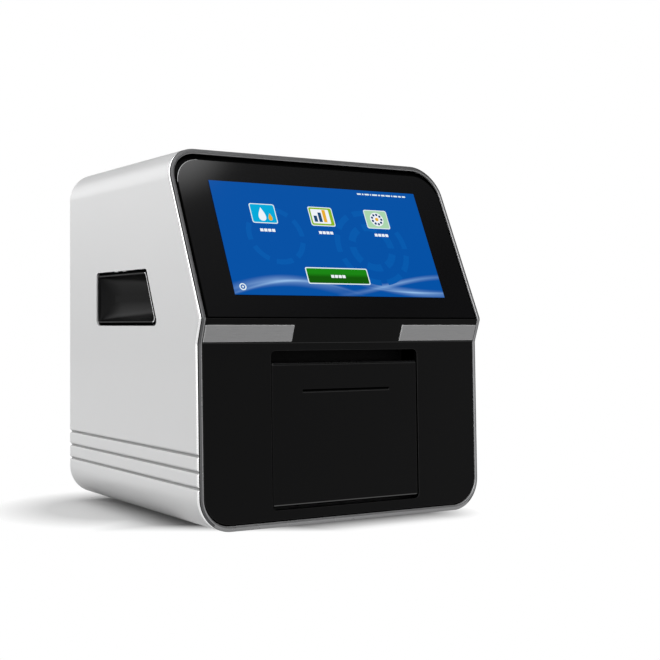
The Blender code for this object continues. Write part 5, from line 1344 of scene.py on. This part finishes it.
def vent_tree(material):
    """Fields of slots cut through a plate, each slot upright with round ends, at an even pitch."""
    first_centre = (VENT_CENTRES[0], (PANEL_IN + PANEL_OUT) / 2, VENT_HEIGHT)
    tree, enter, leave = tree_with_sockets("vent_slots", [
        ("Slots", "Int", 8), ("Pitch", "Float", 0.0062), ("Slot Width", "Float", 0.0030),
        ("Slot Height", "Float", 0.0500), ("First Centre", "Vector", first_centre),
        ("Field Step", "Float", VENT_CENTRES[1] - VENT_CENTRES[0]), ("Depth", "Float", 0.008),
    ])
    square = add_node(
        tree, "GeometryNodeCurvePrimitiveQuadrilateral", Width=enter["Slot Width"],
        Height=enter["Slot Height"],
    )
    round_ends = add_node(
        tree, "GeometryNodeFilletCurve", dict(mode="POLY"), Curve=square, Count=6,
        Radius=maths(tree, "MULTIPLY", enter["Slot Width"], VENT_ROUNDING),
    )
    flat = add_node(tree, "GeometryNodeFillCurve", dict(mode="NGONS"), Curve=round_ends)
    raised = add_node(tree, "GeometryNodeExtrudeMesh", Mesh=flat, Offset_Scale=enter["Depth"])
    under = add_node(tree, "GeometryNodeFlipFaces", Mesh=flat)
    closed = add_node(tree, "GeometryNodeJoinGeometry", Geometry=[raised, under])
    welded = add_node(tree, "GeometryNodeMergeByDistance", Geometry=closed, Distance=VENT_WELD)
    half_depth = maths(tree, "MULTIPLY", enter["Depth"], 0.5)
    upright = moved(
        tree, welded, Rotation=(math.pi / 2, 0.0, 0.0), Translation=vector_of(tree, Y=half_depth)
    )
    centres = add_node(
        tree, "GeometryNodeMeshLine", Count=2, Start_Location=enter["First Centre"],
        Offset=vector_of(tree, X=enter["Field Step"]),
    )
    field = copies_on(tree, even_row(tree, enter["Slots"], enter["Pitch"]), upright)
    cutters = add_node(tree, "GeometryNodeRealizeInstances", Geometry=copies_on(tree, centres, field))
    plate = combined(tree, "DIFFERENCE", Mesh_1=enter["Geometry"], Mesh_2=cutters)
    return finish_tree(tree, leave, plate, material)


panel_paint = add_finish(
    "panel_paint", (0.33, 0.335, 0.34), 0.45, metallic=0.2, grain_scale=2400.0, grain_depth=0.00001
)
run_tree(back_panel, vent_tree(panel_paint))
soften(back_panel, BOARD_EDGE, segments=2, angle=40)
attach(back_panel, "panel_metal", "housing", "rear_panel")

# The rear screws: zinc-plated pan heads with a cross recess, one near each corner of the panel.
# Their shanks pass through the panel into the lugs inside the cover.
SCREW_SIDES = 40
SCREW_EDGE = 0.00008
DOME_STEPS = 8
# How much of a quarter circle the dome takes up before its flat top
DOME_SHARE = 0.86
# The part of the shank's length by which it is let into the head
SHANK_LET_IN = 0.2


def screw_tree(material):
    """Pan-head screws on every point, pointing along Y, with a cross cut into each head."""
    tree, enter, leave = tree_with_sockets("pan_head_screws", [
        ("Head Radius", "Float", 0.0030), ("Head Height", "Float", 0.0018), ("Dome", "Float", 0.0009),
        ("Shank Radius", "Float", 0.0014), ("Shank Length", "Float", 0.0026),
        ("Recess Width", "Float", 0.0008), ("Recess Length", "Float", 0.0034),
        ("Recess Depth", "Float", 0.0009),
    ])

    def scaled(label, share):
        return maths(tree, "MULTIPLY", enter[label], share)

    def raised(geometry, level):
        return moved(tree, geometry, Translation=vector_of(tree, Z=level))

    def disc(radius):
        settings = dict(fill_type="NGON")
        return add_node(tree, "GeometryNodeMeshCircle", settings, Vertices=SCREW_SIDES, Radius=radius)

    shoulder = maths(tree, "SUBTRACT", enter["Head Height"], enter["Dome"])
    rows = []
    for step in range(DOME_STEPS + 1):
        turn = math.pi / 2 * DOME_SHARE * step / DOME_STEPS
        level = maths(tree, "ADD", shoulder, scaled("Dome", math.sin(turn)))
        rows.append((scaled("Head Radius", math.cos(turn)), level))
    shell = []
    for (wide, low), (narrow, high) in zip(rows, rows[1:]):
        ring = add_node(
            tree, "GeometryNodeMeshCone", dict(fill_type="NONE"), Vertices=SCREW_SIDES, Radius_Top=narrow,
            Radius_Bottom=wide, Depth=maths(tree, "SUBTRACT", high, low),
        )
        shell.append(raised(ring, low))
    skirt = add_node(
        tree, "GeometryNodeMeshCylinder", dict(fill_type="NONE"), Vertices=SCREW_SIDES,
        Radius=enter["Head Radius"], Depth=shoulder,
    )
    shell.append(raised(skirt, maths(tree, "MULTIPLY", shoulder, 0.5)))
    top_radius, top_level = rows[-1]
    shell.append(raised(disc(top_radius), top_level))
    shell.append(add_node(tree, "GeometryNodeFlipFaces", Mesh=disc(enter["Head Radius"])))
    head = add_node(tree, "GeometryNodeJoinGeometry", Geometry=shell)
    head = add_node(tree, "GeometryNodeMergeByDistance", Geometry=head, Distance=FINE_WELD)
    shank = add_node(
        tree, "GeometryNodeMeshCylinder", Vertices=24, Radius=enter["Shank Radius"],
        Depth=scaled("Shank Length", 1 + SHANK_LET_IN),
    )
    shank = raised(shank, scaled("Shank Length", (SHANK_LET_IN - 1) / 2))
    whole = combined(tree, "UNION", Mesh_2=[head, shank])
    depth = scaled("Recess Depth", 2.0)
    bars = []
    for width, length in (("Recess Width", "Recess Length"), ("Recess Length", "Recess Width")):
        size = vector_of(tree, X=enter[width], Y=enter[length], Z=depth)
        bars.append(add_node(tree, "GeometryNodeMeshCube", Size=size))
    cross = raised(combined(tree, "UNION", Mesh_2=bars), enter["Head Height"])
    cut_head = combined(tree, "DIFFERENCE", Mesh_1=whole, Mesh_2=cross)
    turned = moved(tree, cut_head, Rotation=(-math.pi / 2, 0.0, 0.0))
    return finish_tree(tree, leave, copies_on(tree, enter["Geometry"], turned), material)


zinc_steel = add_finish("zinc_steel", (0.50, 0.51, 0.52), 0.34, metallic=1.0, spread=0.2, dust=0.03)
rear_screws = points_object("rear_screws", [(x, PANEL_OUT + TOUCH_GAP, z) for x, z in SCREW_PLACES])
run_tree(rear_screws, screw_tree(zinc_steel))
soften(rear_screws, SCREW_EDGE, segments=2, angle=40)
attach(rear_screws, "zinc_steel", "housing", "rear_screw_1", "rear_screw_2", "rear_screw_3", "rear_screw_4")

# The cooling fan: a moulded frame behind the panel and a rotor whose seven blades twist from the hub out.
# Both are matt black glass-filled nylon. The rotor snaps onto its motor in the middle of the frame.
FAN_CENTRE = (0.0450, 0.09225, 0.1700)
FAN_HUB_RADIUS = 0.0127
FAN_TIP_RADIUS = 0.0274
FAN_LENGTH = 0.0117
BLADE_ROOT_RADIUS = FAN_HUB_RADIUS - 0.0015
BLADE_ROOT_PITCH = math.radians(52)
BLADE_TIP_PITCH = math.radians(30)
BLADE_CHORD = 0.0112
BLADE_CAMBER = 0.0009
BLADE_THICKNESS = 0.0011
BLADE_STEPS = 10
BLADE_EDGE_SHARE = 0.2


def blade_section(share):
    """The blade's outline at a share of its length, turned by its pitch there and slightly hollow."""
    radius = BLADE_ROOT_RADIUS + (FAN_TIP_RADIUS - BLADE_ROOT_RADIUS) * share
    pitch = BLADE_ROOT_PITCH + (BLADE_TIP_PITCH - BLADE_ROOT_PITCH) * share
    upper, lower = [], []
    for step in range(BLADE_STEPS + 1):
        along = step / BLADE_STEPS - 0.5
        curve = BLADE_CAMBER * (1 - (2 * along) ** 2)
        half = BLADE_THICKNESS / 2 * math.sqrt(max(BLADE_EDGE_SHARE ** 2, 1 - (2 * along) ** 4))
        for line, offset in ((upper, half), (lower, -half)):
            u, v = BLADE_CHORD * along, curve + offset
            y = u * math.sin(pitch) + v * math.cos(pitch)
            z = u * math.cos(pitch) - v * math.sin(pitch)
            line.append((radius, y, z))
    return upper + lower[::-1]


def fan_blade():
    """One blade along X, a thin closed shell from inside the hub to the tip."""
    form = bmesh.new()
    loops = add_loops(form, [blade_section(step / BLADE_STEPS) for step in range(BLADE_STEPS + 1)])
    for here, there in zip(loops, loops[1:]):
        join_loops(form, here, there)
    form.faces.new(loops[0])
    form.faces.new(loops[-1])
    return mesh_object("fan_rotor_blades", form)


def rotor_tree(material):
    """Copies of a blade round the axis and the hub that carries them."""
    tree, enter, leave = tree_with_sockets("fan_rotor", [
        ("Blades", "Int", 7), ("Hub Radius", "Float", FAN_HUB_RADIUS), ("Hub Length", "Float", FAN_LENGTH),
        ("Centre", "Vector", FAN_CENTRE),
    ])
    spots = add_node(tree, "GeometryNodePoints", Count=enter["Blades"], Position=enter["Centre"])
    step = maths(tree, "DIVIDE", 2 * math.pi, enter["Blades"])
    turn = maths(tree, "MULTIPLY", add_node(tree, "GeometryNodeInputIndex"), step)
    spin = add_node(tree, "FunctionNodeEulerToRotation", Euler=vector_of(tree, Y=turn))
    blades = copies_on(tree, spots, enter["Geometry"], Rotation=spin)
    hub = add_node(
        tree, "GeometryNodeMeshCylinder", Vertices=56, Radius=enter["Hub Radius"], Depth=enter["Hub Length"]
    )
    hub = moved(tree, hub, Rotation=(math.pi / 2, 0.0, 0.0), Translation=enter["Centre"])
    both = add_node(tree, "GeometryNodeJoinGeometry", Geometry=[blades, hub])
    return finish_tree(tree, leave, both, material)


NYLON_GRAIN = dict(grain_scale=3600.0, grain_depth=0.000008)
matt_black = add_finish("matt_black", (0.022, 0.022, 0.024), 0.52, specular=0.4, **NYLON_GRAIN)
finished_copy("fan_shroud", "fan_frame", matt_black, "dark_plastic", "housing", CASE_EDGE)
fan_rotor = fan_blade()
run_tree(fan_rotor, rotor_tree(matt_black))
soften(fan_rotor, STRIP_EDGE, segments=3, angle=50)
attach(fan_rotor, "dark_plastic", "fan", "fan_rotor")

# The loudspeaker: a small round unit clipped behind the left vents, with a doped paper cone in a steel
# basket.
finished_copy("speaker_unit", "loudspeaker", matt_black, "dark_plastic", "housing", CLIP_EDGE)

# The power inlet and switch: one black moulding riveted to the panel, with three tinned pins in its socket.
# The rocker above them tips about an upright pin and carries a bar and a ring.
PIN_PLACES = ((-0.0620, 0.0925, 0.0420), (-0.0550, 0.0925, 0.0445), (-0.0480, 0.0925, 0.0420))
ROCKER_LEFT = Vector((-0.06536, 0.10077))
ROCKER_MIDDLE = Vector((-0.05526, 0.10077))
ROCKER_RIGHT = Vector((-0.04556, 0.10356))
ROCKER_HEIGHT = 0.0655
MARK_RISE = 0.00006
MARK_BAR = (0.0006, 0.0042)
# Radius and level of each corner of the ring's section
MARK_RING = ((0.0021, 0.0), (0.0021, MARK_RISE), (0.0015, MARK_RISE), (0.0015, 0.0))
MARK_RING_STEPS = 32


def pin_tree(material):
    """A flat pin on every point."""
    tree, enter, leave = tree_with_sockets("flat_pins", [("Size", "Vector", (0.0021, 0.0121, 0.0041))])
    pin = add_node(tree, "GeometryNodeMeshCube", Size=enter["Size"])
    return finish_tree(tree, leave, copies_on(tree, enter["Geometry"], pin), material)


finished_copy("inlet_moulding", "power_inlet", matt_black, "dark_plastic", "housing", CLIP_EDGE)
tinned = add_finish("tinned_brass", (0.62, 0.60, 0.55), 0.28, metallic=1.0, dust=0.01)
inlet_pins = points_object("inlet_pins", PIN_PLACES)
run_tree(inlet_pins, pin_tree(tinned))
soften(inlet_pins, STRIP_EDGE, segments=3, angle=40)
attach(inlet_pins, "zinc_steel", "housing")
rocker_black = add_finish("rocker_black", (0.010, 0.010, 0.011), 0.22, specular=0.5, grain_depth=0.000001)
finished_copy("switch_rocker", "power_switch", rocker_black, "dark_plastic", "switch", CASE_EDGE)


def on_rocker(start, finish):
    """Turns a place on half of the rocker's face into a point in space: along it, up it, and out of it."""
    along = (finish - start).normalized()
    out = Vector((-along.y, along.x))
    middle = (start + finish) / 2

    def place(u, v, level):
        spot = middle + along * u + out * level
        return (spot.x, spot.y, ROCKER_HEIGHT + v)

    return place


on_left = on_rocker(ROCKER_LEFT, ROCKER_MIDDLE)
on_right = on_rocker(ROCKER_MIDDLE, ROCKER_RIGHT)
mark_white = add_finish("mark_white", (0.70, 0.70, 0.68), 0.5, grain_depth=0.0)
bar_mark = slab("switch_bar_mark", box_outline(0.0, 0.0, *MARK_BAR), on_right, 0.0, MARK_RISE)
dress(bar_mark, mark_white, "white_plastic", "switch")
mark_rows = [
    [on_left(radius * math.cos(turn), radius * math.sin(turn), level) for radius, level in MARK_RING]
    for turn in even_turns(MARK_RING_STEPS)
]
ring_mark = swept_ring("switch_ring_mark", mark_rows)
dress(ring_mark, mark_white, "white_plastic", "switch")

# The data sockets: bright tinned steel shells in the panel, soldered to a small board behind it.
# Gilt contacts lie in rows, eight in the network socket and four on the tongue of each other one.
SHELL_WALL = 0.0004
NETWORK_PLACES = [(0.0620, 0.0930, 0.05835)]
NETWORK_EDGE = 0.0001
TONGUE_PLACES = [(0.0220, 0.0945, 0.05405), (0.0420, 0.0945, 0.05405)]
TONGUE_EDGE = 0.00008
TONGUE_CONTACTS = dict(Contacts=4, Pitch=0.0024, Size=(0.0011, 0.0090, 0.0002))
gilt = add_finish("gilt_contacts", (0.83, 0.60, 0.24), 0.25, metallic=1.0, dust=0.0)
bright_tin = add_finish("bright_tin", (0.62, 0.63, 0.64), 0.24, metallic=1.0, spread=0.15, dust=0.02)
board_green = add_finish("solder_mask", (0.015, 0.15, 0.055), 0.40, coat=0.3)


def contact_tree(material):
    """An even row of flat contacts along X from every point."""
    tree, enter, leave = tree_with_sockets("contact_rows", [
        ("Contacts", "Int", 8), ("Pitch", "Float", 0.00102), ("Size", "Vector", (0.0005, 0.009, 0.0003)),
    ])
    row = even_row(tree, enter["Contacts"], enter["Pitch"])
    strips = copies_on(tree, row, add_node(tree, "GeometryNodeMeshCube", Size=enter["Size"]))
    return finish_tree(tree, leave, copies_on(tree, enter["Geometry"], strips), material)


def paint_socket_inside(piece, place):
    """Gives the walls inside a socket's shell, and the tongue in it, the black of its insert."""
    x, z, width, height = place

    def inside(spot, way):
        in_width = abs(spot.x - x) < width / 2 - SHELL_WALL
        in_height = abs(spot.z - z) < height / 2 - SHELL_WALL
        return in_width and in_height and spot.y < PANEL_OUT

    repaint(piece, 1, inside)


def add_board(name, node):
    """A circuit board under its green solder mask."""
    finished_copy(name, node, board_green, "board_green", "housing", BOARD_EDGE, segments=2)


def add_contacts(name, places, tree, edge, **values):
    """Rows of contacts at some places, soldered into the housing."""
    made = points_object(name, places)
    run_tree(made, tree, **values)
    soften(made, edge, segments=2, angle=40)
    return attach(made, "zinc_steel", "housing")


socket_finishes = (bright_tin, matt_black)
for port, place in zip(("network_port", "usb_port_right", "usb_port_left"), SOCKET_PLACES):
    socket_name = port.replace("_port", "_socket")
    shell = finished_copy(socket_name, port, socket_finishes, "zinc_steel", "housing", SHEET_EDGE)
    paint_socket_inside(shell, place)
contact_rows = contact_tree(gilt)
add_contacts("network_contacts", NETWORK_PLACES, contact_rows, NETWORK_EDGE)
add_contacts("tongue_contacts", TONGUE_PLACES, contact_rows, TONGUE_EDGE, **TONGUE_CONTACTS)
add_board("socket_board", "port_board")

# The disc tray: a black moulded block behind the drawer front, with a round well for the reagent disc and a
# finger notch at each end of it. Zinc-plated runners are screwed to both its sides and carry the drawer.
tray_black = add_finish("tray_black", (0.016, 0.016, 0.017), 0.42, specular=0.45, dust=0.03, **NYLON_GRAIN)
finished_copy("disc_tray", "drawer_tray", tray_black, "dark_plastic", "drawer", BLOCK_EDGE, segments=4)
for side in ("left", "right"):
    runner, rail = "runner_" + side, "guide_rail_" + side
    finished_copy("drawer_" + runner, runner, zinc_steel, "zinc_steel", "drawer", CLIP_EDGE)
    finished_copy("fixed_rail_" + side, rail, zinc_steel, "zinc_steel", "housing", SHEET_EDGE)

# The turntable: turned aluminium with a low rim and a drive pin, on a steel spindle in the tray's well.
# Its black hub centres the disc. The turning tool left fine rings round the spindle.
SPIN_PLACE = (0.0, -0.04817, 0.0)


def turned_rings_group():
    """Fine rings round an upright axis, as a turning tool leaves them."""
    group, enter, leave = effect_group(
        "turned_rings", [("Axis", "Vector", SPIN_PLACE), ("Scale", "Float", 2600.0)], [("Rings", "Float")]
    )
    spot = coordinates(group, "Object")
    apart = vector_maths(group, "SUBTRACT", spot, enter["Axis"])
    radius = vector_maths(group, "LENGTH", vector_maths(group, "MULTIPLY", apart, (1.0, 1.0, 0.0)))
    fine = group.nodes.new("ShaderNodeTexNoise")
    fine.noise_dimensions = "1D"
    fill(group, fine, W=radius, Scale=enter["Scale"])
    group.links.new(fine.outputs["Fac"], leave["Rings"])
    return group


TURNED_RINGS = turned_rings_group()


def add_turned_finish(name, colour, roughness, depth):
    """A metal finish whose grain is a set of fine rings."""
    made = add_finish(name, colour, roughness, metallic=1.0, spread=0.12, dust=0.01)
    tree = made.node_tree
    bump = next(node for node in tree.nodes if node.bl_idname == "ShaderNodeBump")
    fill(tree, bump, Height=place_group(tree, TURNED_RINGS).outputs["Rings"], Distance=depth)
    return made


turned_aluminium = add_turned_finish("turned_aluminium", (0.74, 0.75, 0.76), 0.26, 0.000012)
machined = add_finish(
    "machined_aluminium", (0.70, 0.71, 0.72), 0.32, metallic=1.0, spread=0.15, brushed=0.000006, dust=0.02
)
ground_steel = add_turned_finish("ground_steel", (0.58, 0.59, 0.60), 0.18, 0.000003)
finished_copy("turntable_disc", "turntable", turned_aluminium, "aluminium", "turntable", SHEET_EDGE)
finished_copy("centring_hub", "disc_hub", matt_black, "dark_plastic", "turntable", SHEET_EDGE)
finished_copy("spindle", "spindle_shaft", ground_steel, "zinc_steel", "turntable", SHEET_EDGE)
finished_copy("spindle_motor", "spin_motor", zinc_steel, "zinc_steel", "drawer", CASE_EDGE)

# The drawer drive: an acetal rack under the tray, a pinion of fourteen teeth on a ground shaft, and the gear
# motor that turns it, flanged to the cradle's left wall.
RACK_EDGE = 0.00012
PINION_EDGE = 0.0001
acetal = add_finish("natural_acetal", (0.72, 0.72, 0.69), 0.42, grain_scale=3000.0)
finished_copy("tray_rack", "drawer_rack", acetal, "white_plastic", "drawer", RACK_EDGE, segments=2)
finished_copy("drive_pinion", "drawer_pinion", acetal, "white_plastic", "pinion", PINION_EDGE, segments=2)
finished_copy("drive_shaft", "pinion_shaft", ground_steel, "zinc_steel", "pinion", SHEET_EDGE)
finished_copy("gear_motor", "drawer_motor", zinc_steel, "zinc_steel", "housing", STRIP_EDGE)

# The base and cradle: pressed steel in black e-coat. The plate is screwed to the cover's bosses, and the
# U-shaped cradle on it carries the rails, the bridge and the detector.
coated_steel = add_finish(
    "coated_steel", (0.012, 0.012, 0.013), 0.46, specular=0.35, grain_scale=1800.0, grain_depth=0.00001
)
for name, node in (
    ("bottom_plate", "base_plate"), ("rail_cradle", "drawer_cradle"), ("bridge_plate", "optics_bridge")
):
    finished_copy(name, node, coated_steel, "zinc_steel", "housing", SHEET_EDGE)
shield_black = add_finish("shield_black", (0.006, 0.006, 0.006), 0.6, specular=0.1, dust=0.0)
finished_copy("daylight_shield", "light_shield", shield_black, "satin_black", "housing", SHEET_EDGE)

# The optics over the disc: a machined block with the lens and flash lamp, a heating plate and a code reader,
# and the light detector with its board below the tray's window.
lens_glass = add_finish("lens_glass", (0.35, 0.42, 0.46), 0.06, coat=0.4, grain_depth=0.0)
finished_copy("optics_housing", "optical_block", machined, "aluminium", "housing", STRIP_EDGE)
finished_copy("lens_tube", "lens_barrel", lens_glass, "lens_glass", "housing", SHEET_EDGE)
finished_copy("lamp_housing", "flash_lamp", matt_black, "dark_plastic", "housing", BLOCK_EDGE)
finished_copy("heater_plate", "heating_plate", machined, "aluminium", "housing", SHEET_EDGE)
finished_copy("disc_code_reader", "code_reader", matt_black, "dark_plastic", "housing", BLOCK_EDGE)
finished_copy("detector_housing", "detector_block", machined, "aluminium", "housing", CLIP_EDGE)
add_board("detector_card", "detector_board")

# The display and its computer: the LCD module behind the glass, a folded bracket, the main board on it with
# a finned heat sink, and the closed power supply beside the cradle.
display_back = add_finish("display_back", (0.01, 0.03, 0.09), 0.2, grain_depth=0.0)
finished_copy("display_module", "lcd_panel", display_back, "screen_glass", "housing", STRIP_EDGE)
finished_copy("folded_bracket", "display_bracket", zinc_steel, "zinc_steel", "housing", SHEET_EDGE)
add_board("computer_board", "main_board")
finished_copy("heat_sink", "processor_heatsink", machined, "aluminium", "housing", BOARD_EDGE, segments=2)
supply_metal = add_finish(
    "supply_metal", (0.55, 0.56, 0.57), 0.38, metallic=1.0, brushed=0.000006, dust=0.04
)
finished_copy("supply_box", "power_supply", supply_metal, "aluminium", "housing", BLOCK_EDGE)

# The studio: a pale floor, a white surround and soft light from above, with the camera where the photograph
# was taken.
FLOOR_HALF = 3.0
FLOOR_ROUGHNESS = 0.6
FLOOR_SPECULAR = 0.1
FLOOR_SHOWN = 0.60
FLOOR_LIFT = 0.02
FLOOR_BOUNCE = 0.06
FLOOR_MIRRORED = 0.85
NEAR_BOUNCE = 0.03
# Where the table shows its shadow: a circle behind the left side and the footprint. Outside them the table
# glows white as painted light over the shadow.
SHADE_CENTRE = (-0.075, 0.054, 0.0)
SHADE_REACH = 0.055
SHADE_FADE_RATE = 25.0
FOOTPRINT_CENTRE = (-0.010, 0.0, 0.0)
FOOTPRINT_HALF = (0.085, 0.070, 1.0)
FOOTPRINT_FADE_RATE = 25.0
# The line towards the camera beyond which the table glows white over its shadow: its direction, distance and
# rate
NEAR_WAY = (0.531, 0.8475, 0.0)
NEAR_LINE = -0.072
NEAR_FADE_RATE = 40.0
# Height of a direction, as its sine, and how bright the surround is there
SKY_STOPS = ((0.0, 1.0), (0.16, 1.0), (0.30, 0.08), (0.66, 0.05), (0.80, 0.20), (1.0, 0.9))
HORIZON_SHARE = 0.30
HORIZON_TOP = 0.5
OVERHEAD_START = 0.78
OVERHEAD_RATE = 6.0
PATCH_POWER = 1.6
# Direction of a soft patch, the cosines between which it rises, and its strength
SOFT_PATCHES = (
    ((-0.66, -0.55, 0.50), 0.55, 0.92, 1.0),
    ((-0.76, -0.36, 0.50), 0.95, 0.99, 4.6),
    ((-0.80, 0.20, 0.56), 0.60, 0.95, 0.75),
    ((-0.42, 0.85, 0.32), 0.90, 0.985, 1.6),
    ((-0.36, 0.85, 0.38), 0.955, 0.995, 0.5),
    ((-0.53, 0.85, 0.03), 0.70, 0.96, -0.80),
    ((0.414, -0.422, 0.806), 0.9984, 0.9999, 3.2),
)
CAMERA_PLACE = (-0.41029, -0.73447, 0.12289)
CAMERA_LENS = 68.18
CAMERA_YAW = math.radians(32.07)
CAMERA_PITCH = math.radians(-0.22)


def studio_floor():
    """A white table that runs out into the white surround. What it throws back on the part is held down."""
    form = bmesh.new()
    bmesh.ops.create_grid(form, x_segments=1, y_segments=1, size=FLOOR_HALF)
    floor = mesh_object("studio_floor", form)
    made = new_material("floor_white")
    tree = made.node_tree
    shader = shader_of(made)
    paths = tree.nodes.new("ShaderNodeLightPath").outputs
    mirrored = maths(tree, "MULTIPLY", paths["Is Glossy Ray"], FLOOR_MIRRORED)
    shown = maths(tree, "ADD", paths["Is Camera Ray"], mirrored)
    shown = maths(tree, "ADD", shown, paths["Is Transmission Ray"], clamp=True)
    dim, bright = ([level] * 3 for level in (NEAR_BOUNCE, FLOOR_SHOWN))
    fill(
        tree, shader, Roughness=FLOOR_ROUGHNESS, Specular_IOR_Level=FLOOR_SPECULAR,
        Base_Color=blend_colours(tree, shown, dim, bright), Emission_Color=(1.0, 1.0, 1.0, 1.0),
        Emission_Strength=maths(tree, "MULTIPLY", shown, FLOOR_LIFT),
    )
    # The table glows white for the camera outside the shade fields and beyond the line: painted light that
    # covers the cast shadow there, so the fields set the shadow's shape. FLOOR_LIFT adds a faint glow over
    # the shadow too.
    spot = coordinates(tree, "Object")
    from_centre = vector_maths(tree, "DISTANCE", spot, SHADE_CENTRE)
    beyond = maths(tree, "SUBTRACT", from_centre, SHADE_REACH)
    out_of_shade = maths(tree, "MULTIPLY", beyond, SHADE_FADE_RATE, clamp=True)
    placed = vector_maths(tree, "SUBTRACT", spot, FOOTPRINT_CENTRE)
    aside = vector_maths(tree, "SUBTRACT", vector_maths(tree, "ABSOLUTE", placed), FOOTPRINT_HALF)
    outside = vector_maths(tree, "LENGTH", vector_maths(tree, "MAXIMUM", aside, (0.0, 0.0, 0.0)))
    out_of_footprint = maths(tree, "MULTIPLY", outside, FOOTPRINT_FADE_RATE, clamp=True)
    in_front = maths(tree, "SUBTRACT", NEAR_LINE, vector_maths(tree, "DOT_PRODUCT", spot, NEAR_WAY))
    cleared = maths(tree, "MULTIPLY", in_front, NEAR_FADE_RATE, clamp=True)
    far = maths(tree, "MAXIMUM", maths(tree, "MINIMUM", out_of_shade, out_of_footprint), cleared)
    glow = tree.nodes.new("ShaderNodeEmission")
    glowing = maths(tree, "MULTIPLY", shown, 1.0 - FLOOR_BOUNCE)
    fill(tree, glow, Strength=maths(tree, "ADD", glowing, FLOOR_BOUNCE))
    mix = tree.nodes.new("ShaderNodeMixShader")
    tree.links.new(far, mix.inputs[0])
    tree.links.new(shader.outputs[0], mix.inputs[1])
    tree.links.new(glow.outputs[0], mix.inputs[2])
    tree.links.new(mix.outputs[0], tree.nodes["Material Output"].inputs["Surface"])
    floor.data.materials.append(made)


def add_patch(tree, way, direction, start, full, strength):
    """A soft bright patch of the surround, from the cosine where it starts to where it is full."""
    facing = vector_maths(tree, "DOT_PRODUCT", way, Vector(direction).normalized())
    share = maths(tree, "DIVIDE", maths(tree, "SUBTRACT", facing, start), full - start, clamp=True)
    return maths(tree, "MULTIPLY", maths(tree, "POWER", share, PATCH_POWER), strength)


def studio_world():
    """White at the horizon, dark above it and bright overhead. The camera sees plain white everywhere."""
    world = bpy.data.worlds.new("studio")
    bpy.context.scene.world = world
    world.use_nodes = True
    tree = world.node_tree
    way = coordinates(tree, "Generated")
    height = parts_of(tree, way)["Z"]
    ramp = tree.nodes.new("ShaderNodeValToRGB")
    elements = ramp.color_ramp.elements
    while len(elements) < len(SKY_STOPS):
        elements.new(0.5)
    for element, (place, level) in zip(elements, SKY_STOPS):
        element.position = place
        element.color = (level, level, level, 1.0)
    tree.links.new(height, ramp.inputs[0])
    above = maths(tree, "SUBTRACT", height, OVERHEAD_START)
    level = maths(tree, "MULTIPLY", above, OVERHEAD_RATE, clamp=True)
    for patch in SOFT_PATCHES:
        level = maths(tree, "ADD", level, add_patch(tree, way, *patch))
    paths = tree.nodes.new("ShaderNodeLightPath").outputs
    seen = paths["Is Camera Ray"]
    shown = maths(tree, "ADD", paths["Is Glossy Ray"], paths["Is Transmission Ray"], clamp=True)
    low = maths(tree, "LESS_THAN", height, HORIZON_TOP)
    dimmed = maths(tree, "MULTIPLY", maths(tree, "SUBTRACT", 1.0, shown), low)
    share = maths(tree, "SUBTRACT", 1.0, maths(tree, "MULTIPLY", dimmed, 1.0 - HORIZON_SHARE))
    level = maths(tree, "ADD", level, maths(tree, "MULTIPLY", ramp.outputs["Color"], share))
    background = tree.nodes["Background"]
    hidden = maths(tree, "MULTIPLY", level, maths(tree, "SUBTRACT", 1.0, seen))
    fill(tree, background, Color=(1.0, 1.0, 1.0, 1.0), Strength=maths(tree, "ADD", hidden, seen))


def studio_camera():
    lens = bpy.data.cameras.new("photo_camera")
    lens.lens = CAMERA_LENS
    camera = add_object("photo_camera", lens)
    camera.location = CAMERA_PLACE
    camera.rotation_euler = (math.pi / 2 + CAMERA_PITCH, 0.0, -CAMERA_YAW)
    bpy.context.scene.camera = camera


studio_floor()
studio_world()
studio_camera()
bpy.context.scene.view_settings.view_transform = "Standard"
